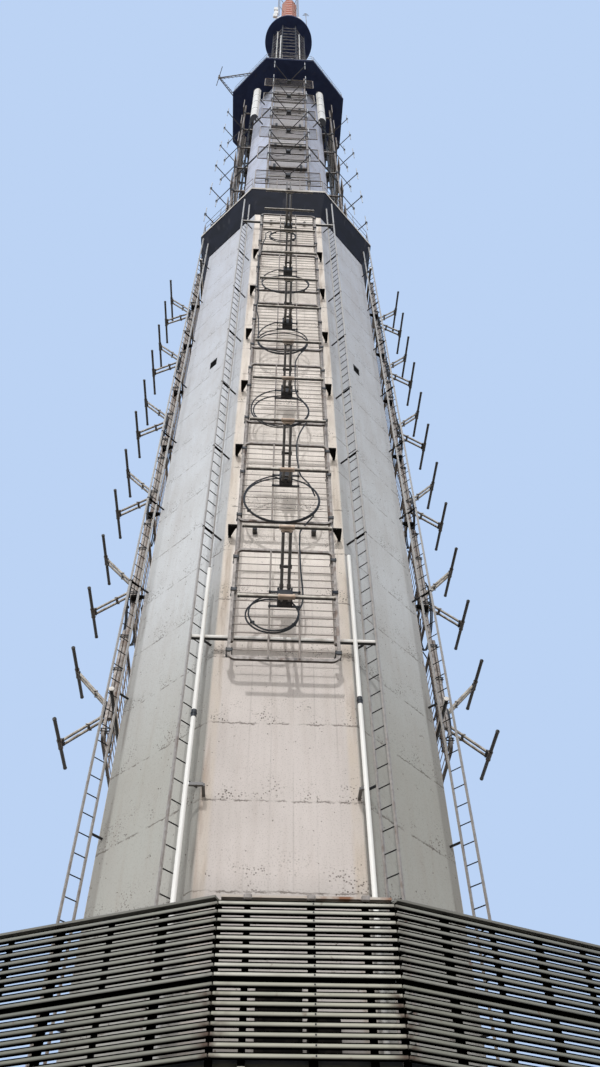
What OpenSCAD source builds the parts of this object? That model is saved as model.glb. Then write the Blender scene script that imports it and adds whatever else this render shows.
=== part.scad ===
// Radio mast: an eight-sided concrete shaft in two stages, a lattice stage, a round collar and a
// banded column, ringed by a louvred screen on a low podium. It is a scale model at 1:10, so one
// millimetre here is one centimetre of the real mast. +Z is up and the front face looks along -Y.

/* [Podium] */
// Height of the podium's walls and of its flat roof
podium_h = 315; // [250:1:350]
// Thickness of the floor slab under everything
floor_t = 15; // [8:1:30]
// Thickness of the podium's walls
podium_wall_t = 25; // [12:1:40]
// Thickness of the podium's roof slab
roof_t = 20; // [10:1:40]

/* [Louvred screen] */
// Distance from the axis to the face of the screen's narrow panels
screen_r = 700; // [620:5:800]
// Width of the screen's narrow panels
corner_w = 108; // [80:1:140]
// Number of slats in the lower tier and in the upper tier
tier_slats = [8, 9]; // [6:1:12]
// Height of one slat
slat_h = 2.8; // [2:0.1:3.6]
// Depth of one slat
slat_t = 3.2; // [1.5:0.1:4]
// Distance between the undersides of two slats
slat_pitch = 5.15; // [4.2:0.05:6]
// Extra gap between the two tiers
tier_gap = 0.1; // [0:0.1:4]
// Side of the square posts behind the slats
post_w = 4; // [3:0.1:6]
// Distance between the posts of a wide panel
post_pitch = 72; // [50:1:90]
// Thickness of the cap rail along the top of the screen
cap_t = 1.5; // [0.8:0.1:3]
// Height of the cap rail above the highest slat
cap_gap = 1.6; // [0.4:0.1:4]

/* [Lower shaft] */
// Width of the lower shaft across two opposite faces
shaft_af = 500; // [440:1:560]
// Thickness of the lower shaft's wall
shaft_wall = 35; // [20:1:50]
// Height of the balcony deck above the highest lower bay
balcony_rise = 336.5; // [300:0.5:380]
// Width of the small wall slot in each diagonal face
slot_w = 24; // [12:1:40]
// Height of the small wall slot
slot_h = 34; // [16:1:60]
// Height of the slot's sill above the ground
slot_z = 1985; // [1900:1:2100]

/* [Balconies] */
// Height of the dark flared collar under the lower balcony
collar_h = 127; // [100:1:180]
// How far the lower balcony stands out from the shaft
balcony_out = 36; // [30:1:60]
// Thickness of each balcony deck
deck_t = 14; // [8:1:20]
// Height of the upper platform's underside above the highest upper bay
platform_rise = 191; // [150:1:230]
// How far the upper platform stands out from the shaft
platform_out = 120; // [80:1:150]
// Height of the railings
rail_h = 110; // [80:1:130]
// Width of the railings' posts; their rails are one thinner
rail_d = 3.2; // [3:0.1:6]

/* [Lower antenna bays] */
// Number of bays up each of the four faces
bays = 6; // [1:1:6]
// Height of the lowest bay's feed box
bay_z = 1082; // [1050:1:1120]
// Distance from one bay to the next
bay_pitch = 311.5; // [290:0.1:320]
// Gap from the wall to the middle of the reflector frames
reflector_gap = 29.5; // [26:0.5:36]
// Width of a reflector frame, between tube centres
reflector_w = 161.5; // [140:0.5:175]
// Height of a reflector frame, between tube centres
reflector_h = 236; // [200:1:250]
// Radius of a reflector frame's corners
reflector_corner = 12; // [6:1:20]
// Width of a reflector frame's tube
frame_d = 4.5; // [3:0.1:6]
// Diameter of the two long pipes that carry the frames of a face
support_d = 8; // [5:0.5:9]
// Distance between the black wall brackets up a face
bracket_pitch = 244; // [200:1:260]
// Number of thin rungs across a reflector frame
rungs = 13; // [6:1:16]
// Diameter of the thin rungs
rung_d = 1.4; // [1.2:0.1:2.4]
// Gap from the wall to the dipoles
dipole_gap = 114.5; // [100:0.5:125]
// Length of a dipole tube
dipole_l = 140; // [120:1:150]
// Diameter of a dipole tube
dipole_d = 6; // [4:0.1:8]
// Height of a dipole above or below its feed box
dipole_rise = 77.5; // [60:0.1:85]
// Width, height and depth of a feed box
feed_box = [24, 24, 16]; // [8:1:40]
// Distance between the two tubes of a boom
boom_gap = 11.5; // [9:0.5:16]
// Diameter of a boom tube
boom_d = 5; // [3:0.1:7]

/* [Cables] */
// Diameter of the black coaxial cables
coax_d = 3.4; // [2:0.1:5]
// Diameter of the cable loop in each bay, from the lowest bay up
loop_sizes = [78, 150, 155, 140, 128, 78]; // [60:1:160]
// Sideways place of the rising cable
riser_x = 24; // [18:1:40]
// Diameter of the two feeder pipes in front of the collar
feeder_d = 4; // [3:0.5:6]

/* [Cable ladders] */
// Distance between the two stiles of a ladder
ladder_w = 22; // [14:0.5:26]
// Gap from the wall to a ladder's inner stile
ladder_gap = 20; // [12:0.5:20.5]
// Distance between the rungs
ladder_pitch = 30; // [25:1:40]
// Distance from the middle of the face to each ladder
ladder_x = 95; // [70:1:98]
// Width of the square stiles
stile_w = 3; // [2:0.1:4]
// Diameter of the long pipes across the faces
cross_pipe_d = 8; // [5:0.5:9]
// Diameter of the two tall white pipes on the front
whip_d = 6.4; // [4:0.2:9]

/* [Upper shaft] */
// How far the upper shaft's faces stand back from the lower shaft's
upper_step = 84; // [60:1:100]
// Thickness of the upper shaft's wall
upper_wall = 28; // [15:1:40]
// Number of upper bays on each of the four faces
upper_bays = 6; // [1:1:6]
// Height of the lowest upper bay above the balcony deck
upper_bay_rise = 329; // [290:1:360]
// Distance from one upper bay to the next
upper_pitch = 289; // [270:1:295]
// Gap from the wall to the upper reflectors
upper_gap = 54; // [40:1:60]
// Width of an upper reflector
upper_reflector_w = 236; // [180:1:250]
// Height of an upper reflector
upper_reflector_h = 146; // [100:1:180]
// Number of rungs across an upper reflector
upper_rungs = 8; // [4:1:12]
// Sideways place of the two upright pipes on each face
upright_x = 76; // [60:1:84]
// Diameter of the upright pipes
upright_d = 8; // [5:0.5:10]
// Length of each of the two slanting arms of an upper bay
arm_l = 104; // [80:1:115]
// Length of the upright dipoles at the arms' ends
upper_dipole_l = 140; // [100:1:150]

/* [Radomes] */
// Number of boxes in each white stack
radome_boxes = 4; // [2:1:5]
// Height of one white box
radome_h = 124; // [90:1:130]
// Width of one white box
radome_w = 38; // [25:1:45]
// Gap from the diagonal wall to the back of the stack
radome_gap = 48; // [30:1:60]
// Distance from the upper platform down to the lowest box's underside
radome_drop = 611; // [560:1:680]

/* [Lattice stage] */
// How far the lattice stage stands back from the upper shaft's faces
lattice_step = 56; // [40:1:75]
// Height of the lattice stage
lattice_h = 2031; // [1900:1:2150]
// Number of bays between the lattice's rings
lattice_bays = 20; // [12:1:24]
// Width of the lattice's square legs
leg_w = 8; // [6:0.5:12]
// Width of the lattice's rings; its diagonals are one thinner
brace_d = 4; // [3:0.5:6]

/* [Round collar and column] */
// Radius of the round collar
disc_r = 167; // [140:1:190]
// Thickness of the round collar
disc_t = 20; // [12:1:30]
// Width of the banded column across two opposite faces
column_af = 114; // [90:1:130]
// Height of the banded column's straight part
column_h = 1209; // [1000:1:1250]
// Height of the column's tapered head
head_h = 260; // [100:1:300]
// Diameter of the pole on the column's head
pole_d = 34; // [20:1:50]
// Height of the pole
pole_h = 400; // [300:1:480]
// Height of the pointed rod on the pole
spike_h = 200; // [100:1:240]

/* [Hidden] */

octagon = 360 / 8;
half_turn = octagon / 2;
panel_turn = half_turn / 2;
// Bars that are fused run into each other by this much
bite = 0.4;
// Separate pieces that seat on each other stand this far apart
seat = 0.2;
steel = "#2c2d31";
galvanised = "#a9adad";
concrete = "#bdbab4";
shadow_steel = "#2b2f3c";
slat_colour = "#7f8478";
white_plastic = "#e8e6df";

// Podium and screen
wall_setback = slat_t + post_w;
roof_z = podium_h;
parapet_top = podium_h + 3.4;
screen_z = podium_h + 4;
slat_count = tier_slats[0] + tier_slats[1];
screen_top = screen_z + (slat_count - 1) * slat_pitch + tier_gap + slat_h;
cap_z = screen_top + cap_gap;
post_foot_z = podium_h - 18;
slat_end_gap = (slat_t + post_w) * tan(panel_turn) + 0.4;
corner_post_gap = 1;
splice_x = 2.8;
splice_w = 4.8;
cap_lip = 0.5;
wide_r = corner_w / 2 * sin(half_turn) + screen_r * cos(half_turn);
wide_half = screen_r * sin(half_turn) - corner_w / 2 * cos(half_turn);

// Shafts and balconies
shaft_face = shaft_af / 2;
upper_af = shaft_af - 2 * upper_step;
upper_face = upper_af / 2;
top_bay_z = bay_z + (bays - 1) * bay_pitch;
balcony_z = top_bay_z + balcony_rise;
upper_bay_z = balcony_z + upper_bay_rise;
platform_z = upper_bay_z + (upper_bays - 1) * upper_pitch + platform_rise;
platform_af = upper_af + 2 * platform_out;
deck_z = balcony_z - deck_t;
collar_z = deck_z - collar_h;
balcony_af = shaft_af + 2 * balcony_out;
fascia = 3;
outrigger_out = 74;
platform_top = platform_z + deck_t + 10;
lattice_af = upper_af - 2 * lattice_step;
collar_top_z = platform_top + lattice_h;
disc_top = collar_top_z + disc_t;
column_top = disc_top + column_h;
head_top = column_top + head_h;
antenna_h = 140;

// Lower antenna bays, outwards from the wall: support pipe, frame, upright bars, strap, box
reflector_y = shaft_face + reflector_gap;
support_x = reflector_w / 2 - 2;
support_y = reflector_y - frame_d / 2 - support_d / 2 + bite;
bracket_w = 5;
bracket_x = reflector_w / 2 + 14.3;
bracket_z = bay_z + 182;
upright_bar_x = 23;
upright_bar_d = 3;
upright_bar_y = reflector_y + (rung_d + upright_bar_d) / 2 + 0.1;
bars_front = upright_bar_y + upright_bar_d / 2;
strap_t = 2;
strap_h = 4;
box_back = bars_front + seat + strap_t;
box_front = box_back + feed_box[2];
dipole_y = shaft_face + dipole_gap;
socket_w = 20;
socket_h = dipole_d + 3;

// Cables, outwards from the straps: the rings, then the rising cable in front of them
ring_y = box_back + bite + seat / 2 + coax_d / 2;
riser_y = ring_y + coax_d + seat / 2;
feeder_y = max(riser_y + 3, (balcony_af + fascia) / 2 + feeder_d / 2 + 1);

// Ladders on the diagonal faces and the pipes that pass between their two stiles
ladder_in = shaft_face + ladder_gap;
ladder_out = ladder_in + ladder_w;
ladder_rung_d = 1.6;
first_rung_z = roof_z + 4;
outer_stile_x = (ladder_out - ladder_x) * sin(octagon);
outer_stile_y = (ladder_out + ladder_x) * sin(octagon);
cross_pipe_y = outer_stile_y - stile_w * sin(octagon) - seat - cross_pipe_d / 2;
function over_rung(z) =
    first_rung_z + ladder_pitch * round((z - first_rung_z) / ladder_pitch)
    + (ladder_rung_d + cross_pipe_d) / 2 + seat / 2;
cross_pipe_levels = [over_rung(bay_z - 67), over_rung(top_bay_z + 89)];
whip_y = cross_pipe_y + (cross_pipe_d + whip_d) / 2 + seat;
whip_out = [22, 7.5];
whip_rise = [75, 118];
whip_bracket_rise = [212, 442];

// Upper bays
upper_y = upper_face + upper_gap;
upper_frame_w = 3;
upright_y = upper_y - upper_frame_w / 2 - upright_d / 2 + bite;
hub_w = 18;
hub_t = 12;
hub_y = upper_y + rung_d / 2 + seat + hub_t / 2;
beam_w = 12;
brace_levels = [upper_bay_z + 1.5 * upper_pitch, upper_bay_z + 3.5 * upper_pitch];

// Turn a piece that is built on the front face to the face at the given number of eighths
module on_face(eighths) {
    rotate([0, 0, octagon * eighths]) children();
}

// Straight round bar from p to q
module bar(p, q, d) {
    v = q - p;
    translate(p)
        rotate([0, acos(v[2] / norm(v)), atan2(v[1], v[0])])
            cylinder(h = norm(v), d = d);
}

// Round bar along X, as far on each side of x = 0
module rod_x(half, y, z, d) {
    translate([-half, y, z]) rotate([0, 90, 0]) cylinder(h = 2 * half, d = d);
}

// Round upright
module rod_z(x, y, z0, z1, d) {
    translate([x, y, z0]) cylinder(h = z1 - z0, d = d);
}

// Box between two corners
module box(low, high) {
    translate(low) cube(high - low);
}

// Eight-sided prism with a face towards the front
module octagon_prism(af, h) {
    rotate([0, 0, half_turn])
        cylinder(h = h, d = af / cos(half_turn), $fn = 8);
}

module octagon_tube(af, wall, h) {
    difference() {
        octagon_prism(af, h);
        translate([0, 0, -1]) octagon_prism(af - 2 * wall, h + 2);
    }
}

// Point of the screen's outline on the narrow panel at angle a: side -1, 0 or 1 along the panel
function panel_point(a, side, inset) =
    let (r = screen_r - inset, w = side * (corner_w / 2 - inset * tan(panel_turn)))
    [r * sin(a) + w * cos(a), w * sin(a) - r * cos(a)];

function outline(inset) = [for (i = [0:7]) for (side = [-1, 1]) panel_point(octagon * i, side, inset)];

// The quarter of the outline that the front face looks at
function quarter(inset) = [
    panel_point(-octagon, 0, inset), panel_point(-octagon, 1, inset),
    panel_point(0, -1, inset), panel_point(0, 1, inset),
    panel_point(octagon, -1, inset), panel_point(octagon, 0, inset)];

function reversed(list) = [for (i = [len(list) - 1:-1:0]) list[i]];

module base_slab() {
    color(concrete) linear_extrude(floor_t) polygon(outline(wall_setback));
}

module podium_wall(eighths) {
    near = quarter(wall_setback);
    far = quarter(wall_setback + podium_wall_t);
    color("#b9b89f")
        on_face(eighths)
            translate([0, 0, floor_t])
                linear_extrude(parapet_top - floor_t) polygon(concat(near, reversed(far)));
}

module podium_roof() {
    color(concrete)
        translate([0, 0, roof_z - roof_t])
            difference() {
                linear_extrude(roof_t) polygon(outline(wall_setback + podium_wall_t));
                translate([0, 0, -1]) octagon_prism(shaft_af, roof_t + 2);
            }
}

// Straight louvred panel facing the front: slats on two end posts, with the cap rail over them
module louvre_panel(r, half) {
    slat_half = half - slat_end_gap;
    end_post_x = (floor(half / post_pitch + 0.4) - 0.5) * post_pitch;
    for (i = [0:slat_count - 1])
        translate([-slat_half, -r, screen_z + i * slat_pitch + (i < tier_slats[0] ? 0 : tier_gap)])
            cube([2 * slat_half, slat_t, slat_h]);
    for (x = [-end_post_x, end_post_x])
        translate([x - post_w / 2, slat_t - bite - r, post_foot_z])
            cube([post_w, post_w + bite - seat, cap_z + bite - post_foot_z]);
    translate([-slat_half, -r - cap_lip, cap_z])
        cube([2 * slat_half, cap_lip + slat_t + post_w, cap_t]);
}

// Post behind the slats, standing clear of them and bolted to the podium's wall
module middle_post(r, x, w = post_w) {
    translate([x - w / 2, slat_t + seat - r, post_foot_z])
        cube([w, post_w - 2 * seat, cap_z - seat - post_foot_z]);
}

// Rusty post that shows in the gap between the slats of two panels
module corner_post() {
    turn = atan(corner_w / 2 / screen_r);
    rotate([0, 0, turn])
        translate([-post_w / 2, slat_t + corner_post_gap - screen_r / cos(turn), post_foot_z])
            cube([post_w, post_w - corner_post_gap, cap_z - seat - post_foot_z]);
}

module screen(eighths) {
    middle_posts = floor(wide_half / post_pitch + 0.4) - 1;
    color(slat_colour) on_face(eighths) for (i = [0, 1]) on_face(i) {
        louvre_panel(screen_r, corner_w / 2);
        middle_post(screen_r, splice_x, splice_w);
        corner_post();
        mirror([1, 0, 0]) corner_post();
        rotate([0, 0, half_turn]) {
            louvre_panel(wide_r, wide_half);
            for (k = [-middle_posts:middle_posts - 1]) middle_post(wide_r, (k + 0.5) * post_pitch);
        }
    }
}

module lower_shaft() {
    color(concrete)
        difference() {
            translate([0, 0, floor_t]) octagon_tube(shaft_af, shaft_wall, deck_z - floor_t);
            for (i = [1, 3, 5, 7])
                on_face(i)
                    translate([-slot_w / 2, -shaft_face - 1, slot_z])
                        cube([slot_w, shaft_wall + 2, slot_h]);
        }
}

module flared_collar() {
    color(shadow_steel) {
        difference() {
            translate([0, 0, collar_z])
                rotate([0, 0, half_turn])
                    cylinder(h = collar_h, d1 = (shaft_af + 4) / cos(half_turn),
                        d2 = balcony_af / cos(half_turn), $fn = 8);
            translate([0, 0, collar_z - 1]) octagon_prism(shaft_af, collar_h + 2);
        }
        translate([0, 0, deck_z]) octagon_prism(balcony_af + fascia, deck_t);
    }
}

// Railing round an eight-sided deck: one straight panel to a side, with its own end posts
module octagon_railing(af, z, posts) {
    face = af / 2 - rail_d;
    half = face * tan(half_turn) - rail_d;
    for (i = [0:7]) on_face(i) {
        for (level = [0.55, 1]) rod_x(half, -face, z + level * rail_h, rail_d - 1);
        for (k = [0:posts - 1])
            translate([half * (2 * k / (posts - 1) - 1) - rail_d / 2, -face - rail_d / 2, z])
                cube([rail_d, rail_d, rail_h + rail_d / 2]);
    }
}

module lower_railing() {
    color(galvanised) octagon_railing(balcony_af, balcony_z, 4);
}

// Upright frame with rounded corners and level rungs, centred on the origin
module rung_frame(w, h, corner, bar_w, rung_count) {
    rotate([90, 0, 0])
        linear_extrude(bar_w, center = true)
            difference() {
                rounded_oblong(w + bar_w, h + bar_w, corner + bar_w / 2);
                rounded_oblong(w - bar_w, h - bar_w, corner - bar_w / 2);
            }
    for (i = [1:rung_count]) rod_x(w / 2, 0, h * (i / (rung_count + 1) - 0.5), rung_d);
}

module rounded_oblong(w, h, r) {
    square([w - 2 * r, h], center = true);
    square([w, h - 2 * r], center = true);
    for (x = [-1, 1], y = [-1, 1]) translate([x * (w / 2 - r), y * (h / 2 - r)]) circle(r);
}

// Black angle that ties a support pipe back to the wall
module wall_bracket(side, z) {
    end = bracket_x + bracket_w / 2;
    box([side > 0 ? support_x : -end, -support_y - bracket_w / 2, z],
        [side > 0 ? end : -support_x, -support_y + bracket_w / 2, z + bracket_w]);
    box([side * bracket_x - bracket_w / 2, -support_y - bracket_w / 2, z],
        [side * bracket_x + bracket_w / 2, -shaft_face, z + bracket_w]);
}

// Block between a support pipe and a pipe across the face
module pipe_clamp(side, z) {
    front = cross_pipe_y + cross_pipe_d / 2 + seat;
    box([side * support_x - 3, -support_y, z - 3], [side * support_x + 3, -front, z + 3]);
}

module reflectors(eighths) {
    color(galvanised) on_face(eighths) {
        for (k = [0:bays - 1])
            translate([0, -reflector_y, bay_z + k * bay_pitch]) {
                rung_frame(reflector_w, reflector_h, reflector_corner, frame_d, rungs);
                translate([0, reflector_y - upright_bar_y, -reflector_h / 2])
                    for (x = [-upright_bar_x, upright_bar_x])
                        translate([x, 0, 0]) cylinder(h = reflector_h, d = upright_bar_d);
            }
        for (side = [-1, 1]) {
            rod_z(side * support_x, -support_y, cross_pipe_levels[0] - 12,
                top_bay_z + reflector_h / 2, support_d);
            for (k = [0:bays - 1]) wall_bracket(side, bracket_z + k * bracket_pitch);
            for (z = cross_pipe_levels) pipe_clamp(side, z);
        }
    }
}

// Feed box on its two straps, with twin booms that carry a level dipole above and one below
module dipole_pair() {
    box([-feed_box[0] / 2, -box_front, -feed_box[1] / 2], [feed_box[0] / 2, -box_back, feed_box[1] / 2]);
    for (s = [-1, 1]) {
        translate([-upright_bar_x - 2, -box_back - bite, s * (feed_box[1] - strap_h) / 2 - strap_h / 2])
            cube([2 * upright_bar_x + 4, strap_t + bite, strap_h]);
        root = [0, -box_back - feed_box[2] / 2, s * 6];
        tip = [0, -dipole_y, s * dipole_rise];
        reach = (tip - root) * (1 - (dipole_d / 2 + seat) / norm(tip - root));
        for (side = [-1, 1])
            bar(root + [side * boom_gap / 2, 0, 0], root + [side * boom_gap / 2, 0, 0] + reach, boom_d);
        translate(root + 0.4 * reach) cube([boom_gap + boom_d + 3, 4, 4], center = true);
        translate(tip) cube([socket_w, socket_h, socket_h], center = true);
        rod_x(dipole_l / 2, -dipole_y, s * dipole_rise, dipole_d);
    }
}

module dipoles(eighths) {
    color(steel) on_face(eighths)
        for (k = [0:bays - 1]) translate([0, 0, bay_z + k * bay_pitch]) dipole_pair();
}

// Ring of cable that hangs upright in front of a reflector, open between two angles
module cable_ring(d, from = 0, sweep = 360) {
    rotate([90, 0, 0])
        rotate([0, 0, from])
            rotate_extrude(angle = sweep) translate([d / 2, 0]) circle(d = coax_d);
}

// A large loop passes over its bay's feed box; a small one is open where it meets the box
module coax(eighths) {
    color("#17181a") on_face(eighths) {
        for (k = [0:bays - 1]) {
            size = loop_sizes[k];
            if (size < 100)
                translate([-20.5, -ring_y, bay_z + k * bay_pitch - 35.5]) cable_ring(size, 79, 316);
            else
                translate([-6.5, -ring_y, bay_z + k * bay_pitch + 18 - size / 2]) cable_ring(size);
        }
        rod_z(riser_x, -riser_y, bay_z - 30, bay_z + 3 * bay_pitch - 40, coax_d);
    }
}

// Two pipes that rise in front of the collar, strapped to the top reflector and to the deck's edge
module feeder_pipes() {
    strap_z = top_bay_z + 72;
    color(galvanised) {
        for (x = [-5.5, 5.5]) rod_z(x, -feeder_y, top_bay_z + 24, balcony_z + 46, feeder_d);
        box([-upright_bar_x - 2, -bars_front - seat - strap_t, strap_z],
            [upright_bar_x + 2, -bars_front - seat, strap_z + strap_h]);
        box([-9, -feeder_y, strap_z], [9, -bars_front - seat - bite, strap_z + strap_h]);
        box([-9, -feeder_y, deck_z + 4], [9, -(balcony_af + fascia) / 2 - seat, deck_z + 4 + strap_h]);
    }
}

// Ladder that stands edge-on to a face; its stiles run on up in front of the collar
module ladder(x) {
    slope = collar_h / (balcony_out - 2);
    bar_w = 2.6;
    for (y = [ladder_in, ladder_out]) {
        run = y - stile_w / 2 - shaft_face - 2;
        box([x - stile_w / 2, -y - stile_w / 2, roof_z],
            [x + stile_w / 2, -y + stile_w / 2, collar_z + min(run * slope, collar_h / 2) - seat]);
    }
    for (z = [first_rung_z:ladder_pitch:collar_z - 5])
        translate([x, -ladder_in, z]) rotate([90, 0, 0]) cylinder(h = ladder_w, d = ladder_rung_d);
    for (z = [bracket_z - 4 * bracket_pitch:bracket_pitch:collar_z - 20])
        if (z > roof_z)
            box([x - bar_w / 2, -ladder_in, z - 2], [x + bar_w / 2, -shaft_face, z - 2 + bar_w]);
}

module ladders(eighths) {
    color(galvanised) on_face(eighths) for (side = [-1, 1]) ladder(side * ladder_x);
}

// Long pipe across a face, passing between the stiles of the ladder on each side
module cross_pipes() {
    color(galvanised) for (i = [0, 2, 4, 6], z = cross_pipe_levels)
        on_face(i) rod_x(outer_stile_x + 1, -cross_pipe_y, z, cross_pipe_d);
}

module whip_pipes() {
    foot_x = shaft_face * tan(half_turn) - 4;
    color(white_plastic) for (i = [0, 1]) {
        side = 2 * i - 1;
        x = side * (bracket_x + whip_out[i] + 4);
        rod_z(x, -whip_y, roof_z, bay_z + whip_rise[i], whip_d);
        for (rise = whip_bracket_rise) {
            z = roof_z + rise;
            box([side * foot_x - 2, -whip_y, z], [side * foot_x + 2, -shaft_face, z + 4]);
            box([min(x, side * foot_x), -whip_y - 2, z], [max(x, side * foot_x), -whip_y + 2, z + 4]);
        }
    }
}

module upper_shaft() {
    color(concrete)
        translate([0, 0, balcony_z])
            octagon_tube(upper_af, upper_wall, platform_z - balcony_z);
}

module upper_frames(eighths) {
    color(galvanised) on_face(eighths) {
        for (side = [-1, 1])
            rod_z(side * upright_x, -upright_y, balcony_z, platform_z - 60, upright_d);
        for (k = [0:upper_bays - 1]) {
            z = upper_bay_z + k * upper_pitch;
            translate([0, -upper_y, z])
                rung_frame(upper_reflector_w, upper_reflector_h, 6, upper_frame_w, upper_rungs);
            translate([0, 0, z - 26]) {
                box([-upright_x - 4, -upper_face - beam_w, 0], [upright_x + 4, -upper_face, beam_w]);
                for (x = [-upright_x, upright_x])
                    box([x - 3, -upright_y, 3], [x + 3, -upper_face - beam_w + bite, beam_w - 3]);
            }
        }
    }
}

// Hub on the frame with two slanting arms, each with an upright dipole in a socket at its end
module upper_dipoles(eighths) {
    reach = arm_l * sin(octagon);
    stop = reach - 2.8;
    color("#d8d6d0") on_face(eighths) for (k = [0:upper_bays - 1])
        translate([0, -hub_y, upper_bay_z + k * upper_pitch]) {
            cube([hub_w, hub_t, hub_w], center = true);
            for (s = [-1, 1]) {
                bar([s * 2, -2, 0], [s * stop, -stop, 0], 3.8);
                translate([s * reach, -reach, 0]) cube([8, 8, 10], center = true);
                rod_z(s * reach, -reach, -upper_dipole_l / 2, upper_dipole_l / 2, 3.2);
            }
        }
}

// Struts between the upright pipes of neighbouring faces
module face_braces() {
    trim = (upright_d / 2 + seat) * sin(octagon);
    color(steel) for (z = brace_levels, i = [0, 2, 4, 6]) on_face(i)
        bar([upright_x + trim, trim - upright_y, z], [upright_y - trim, -upright_x - trim, z], 6);
}

// White boxes with round fronts, stacked on a post in front of each diagonal face
module radome_stacks() {
    back = upper_face + radome_gap;
    radome_z = platform_z - radome_drop;
    for (i = [1, 3, 5, 7]) on_face(i) {
        color(white_plastic) for (k = [0:radome_boxes - 1])
            translate([0, -back - 10, radome_z + k * radome_h]) {
                linear_extrude(radome_h - 5)
                    intersection() {
                        translate([0, 8]) circle(d = radome_w + 6);
                        translate([-radome_w / 2, -20]) square([radome_w, 30]);
                    }
                translate([-radome_w / 2 + 4, -6, radome_h - 6]) cube([radome_w - 8, 14, 7]);
            }
        color(galvanised) {
            box([-4, -back - bite, radome_z], [4, -back + 8, radome_z + radome_boxes * radome_h - 5]);
            for (z = [radome_z + 60, radome_z + (radome_boxes - 1) * radome_h + 48])
                box([-3, -back + 7, z], [3, -upper_face, z + 6]);
        }
    }
}

module upper_platform() {
    color(shadow_steel) translate([0, 0, platform_z]) {
        octagon_prism(platform_af, deck_t);
        translate([0, 0, deck_t]) octagon_prism(platform_af + fascia, 10);
    }
}

module upper_railing() {
    color(galvanised) octagon_railing(platform_af, platform_top, 4);
}

// Two bars laid on the platform between the railing's posts, meeting at a post with a short dipole
module side_outrigger() {
    bar_w = 5;
    z = platform_top + bar_w / 2;
    hub = [-platform_af / 2 - outrigger_out, -180, z];
    color(galvanised) {
        bar([36 - platform_af / 2, -60, z], hub, bar_w);
        bar([150 - platform_af / 2, -222, z], hub, bar_w);
        translate(hub) cube([9, 9, 9], center = true);
        rod_z(hub[0], hub[1], z - 30, z + 40, bar_w);
        translate(hub + [0, 0, 36]) cube([9, 9, 9], center = true);
        bar(hub + [16, -46, 36], hub + [-16, 46, 36], 3.4);
    }
}

module lattice_stage() {
    stage_h = collar_top_z - platform_top;
    step = stage_h / lattice_bays;
    leg_r = lattice_af / 2 / cos(half_turn) - leg_w / 2;
    ring_af = 2 * leg_r * cos(half_turn);
    half = leg_r * sin(half_turn) - 2;
    color(steel) translate([0, 0, platform_top]) {
        for (i = [0:7]) on_face(i) {
            rotate([0, 0, half_turn])
                translate([-leg_w / 2, -leg_r - leg_w / 2, 0]) cube([leg_w, leg_w, stage_h]);
            for (k = [0:2:lattice_bays - 2]) {
                lean = k % 4 == 0 ? half : -half;
                bar([-lean, -ring_af / 2, k * step + 8],
                    [lean, -ring_af / 2, (k + 2) * step - 8], brace_d - 1);
            }
        }
        for (k = [1:lattice_bays - 1])
            translate([0, 0, k * step - brace_d / 2]) octagon_tube(ring_af + brace_d, brace_d, brace_d);
    }
}

module round_collar() {
    lip_h = 10;
    color(shadow_steel) translate([0, 0, collar_top_z]) {
        cylinder(h = disc_t, r = disc_r, $fn = 96);
        translate([0, 0, disc_t - bite])
            difference() {
                cylinder(h = lip_h + bite, r = disc_r, $fn = 96);
                translate([0, 0, -1]) cylinder(h = lip_h + 3, r = disc_r - 4, $fn = 96);
            }
    }
}

module collar_antennas() {
    pole_r = disc_r - 35;
    for (i = [0:5]) rotate([0, 0, 60 * i + 30]) {
        color(galvanised) rod_z(0, -pole_r, disc_top, disc_top + antenna_h + 50, 7);
        color(white_plastic)
            box([-15, -pole_r - 18, disc_top + 40], [15, -pole_r - 2.5, disc_top + 40 + antenna_h]);
    }
}

module banded_column() {
    head_d = pole_d / cos(half_turn) + 12;
    color("#c4563b") {
        translate([0, 0, disc_top]) octagon_prism(column_af, column_h);
        translate([0, 0, column_top])
            rotate([0, 0, half_turn])
                cylinder(h = head_h, d1 = column_af / cos(half_turn), d2 = head_d, $fn = 8);
    }
}

module top_pole() {
    color(white_plastic) translate([0, 0, head_top]) {
        cylinder(h = pole_h, d = pole_d);
        translate([0, 0, pole_h]) cylinder(h = spike_h, d1 = 8, d2 = 3);
    }
}

base_slab();
podium_wall(0);  // podium_wall_front
podium_wall(2);  // podium_wall_right
podium_wall(4);  // podium_wall_back
podium_wall(6);  // podium_wall_left
podium_roof();
screen(0);  // screen_front
screen(2);  // screen_right
screen(4);  // screen_back
screen(6);  // screen_left
lower_shaft();
flared_collar();
lower_railing();
reflectors(0);  // reflectors_front
reflectors(2);  // reflectors_right
reflectors(4);  // reflectors_back
reflectors(6);  // reflectors_left
dipoles(0);  // dipoles_front
dipoles(2);  // dipoles_right
dipoles(4);  // dipoles_back
dipoles(6);  // dipoles_left
coax(0);  // coax_front
coax(2);  // coax_right
coax(4);  // coax_back
coax(6);  // coax_left
feeder_pipes();
ladders(1);  // ladders_front_right
ladders(3);  // ladders_back_right
ladders(5);  // ladders_back_left
ladders(7);  // ladders_front_left
cross_pipes();
whip_pipes();
upper_shaft();
upper_frames(0);  // upper_frames_front
upper_frames(2);  // upper_frames_right
upper_frames(4);  // upper_frames_back
upper_frames(6);  // upper_frames_left
upper_dipoles(0);  // upper_dipoles_front
upper_dipoles(2);  // upper_dipoles_right
upper_dipoles(4);  // upper_dipoles_back
upper_dipoles(6);  // upper_dipoles_left
face_braces();
radome_stacks();
upper_platform();
upper_railing();
side_outrigger();
lattice_stage();
round_collar();
collar_antennas();
banded_column();
top_pole();
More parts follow.
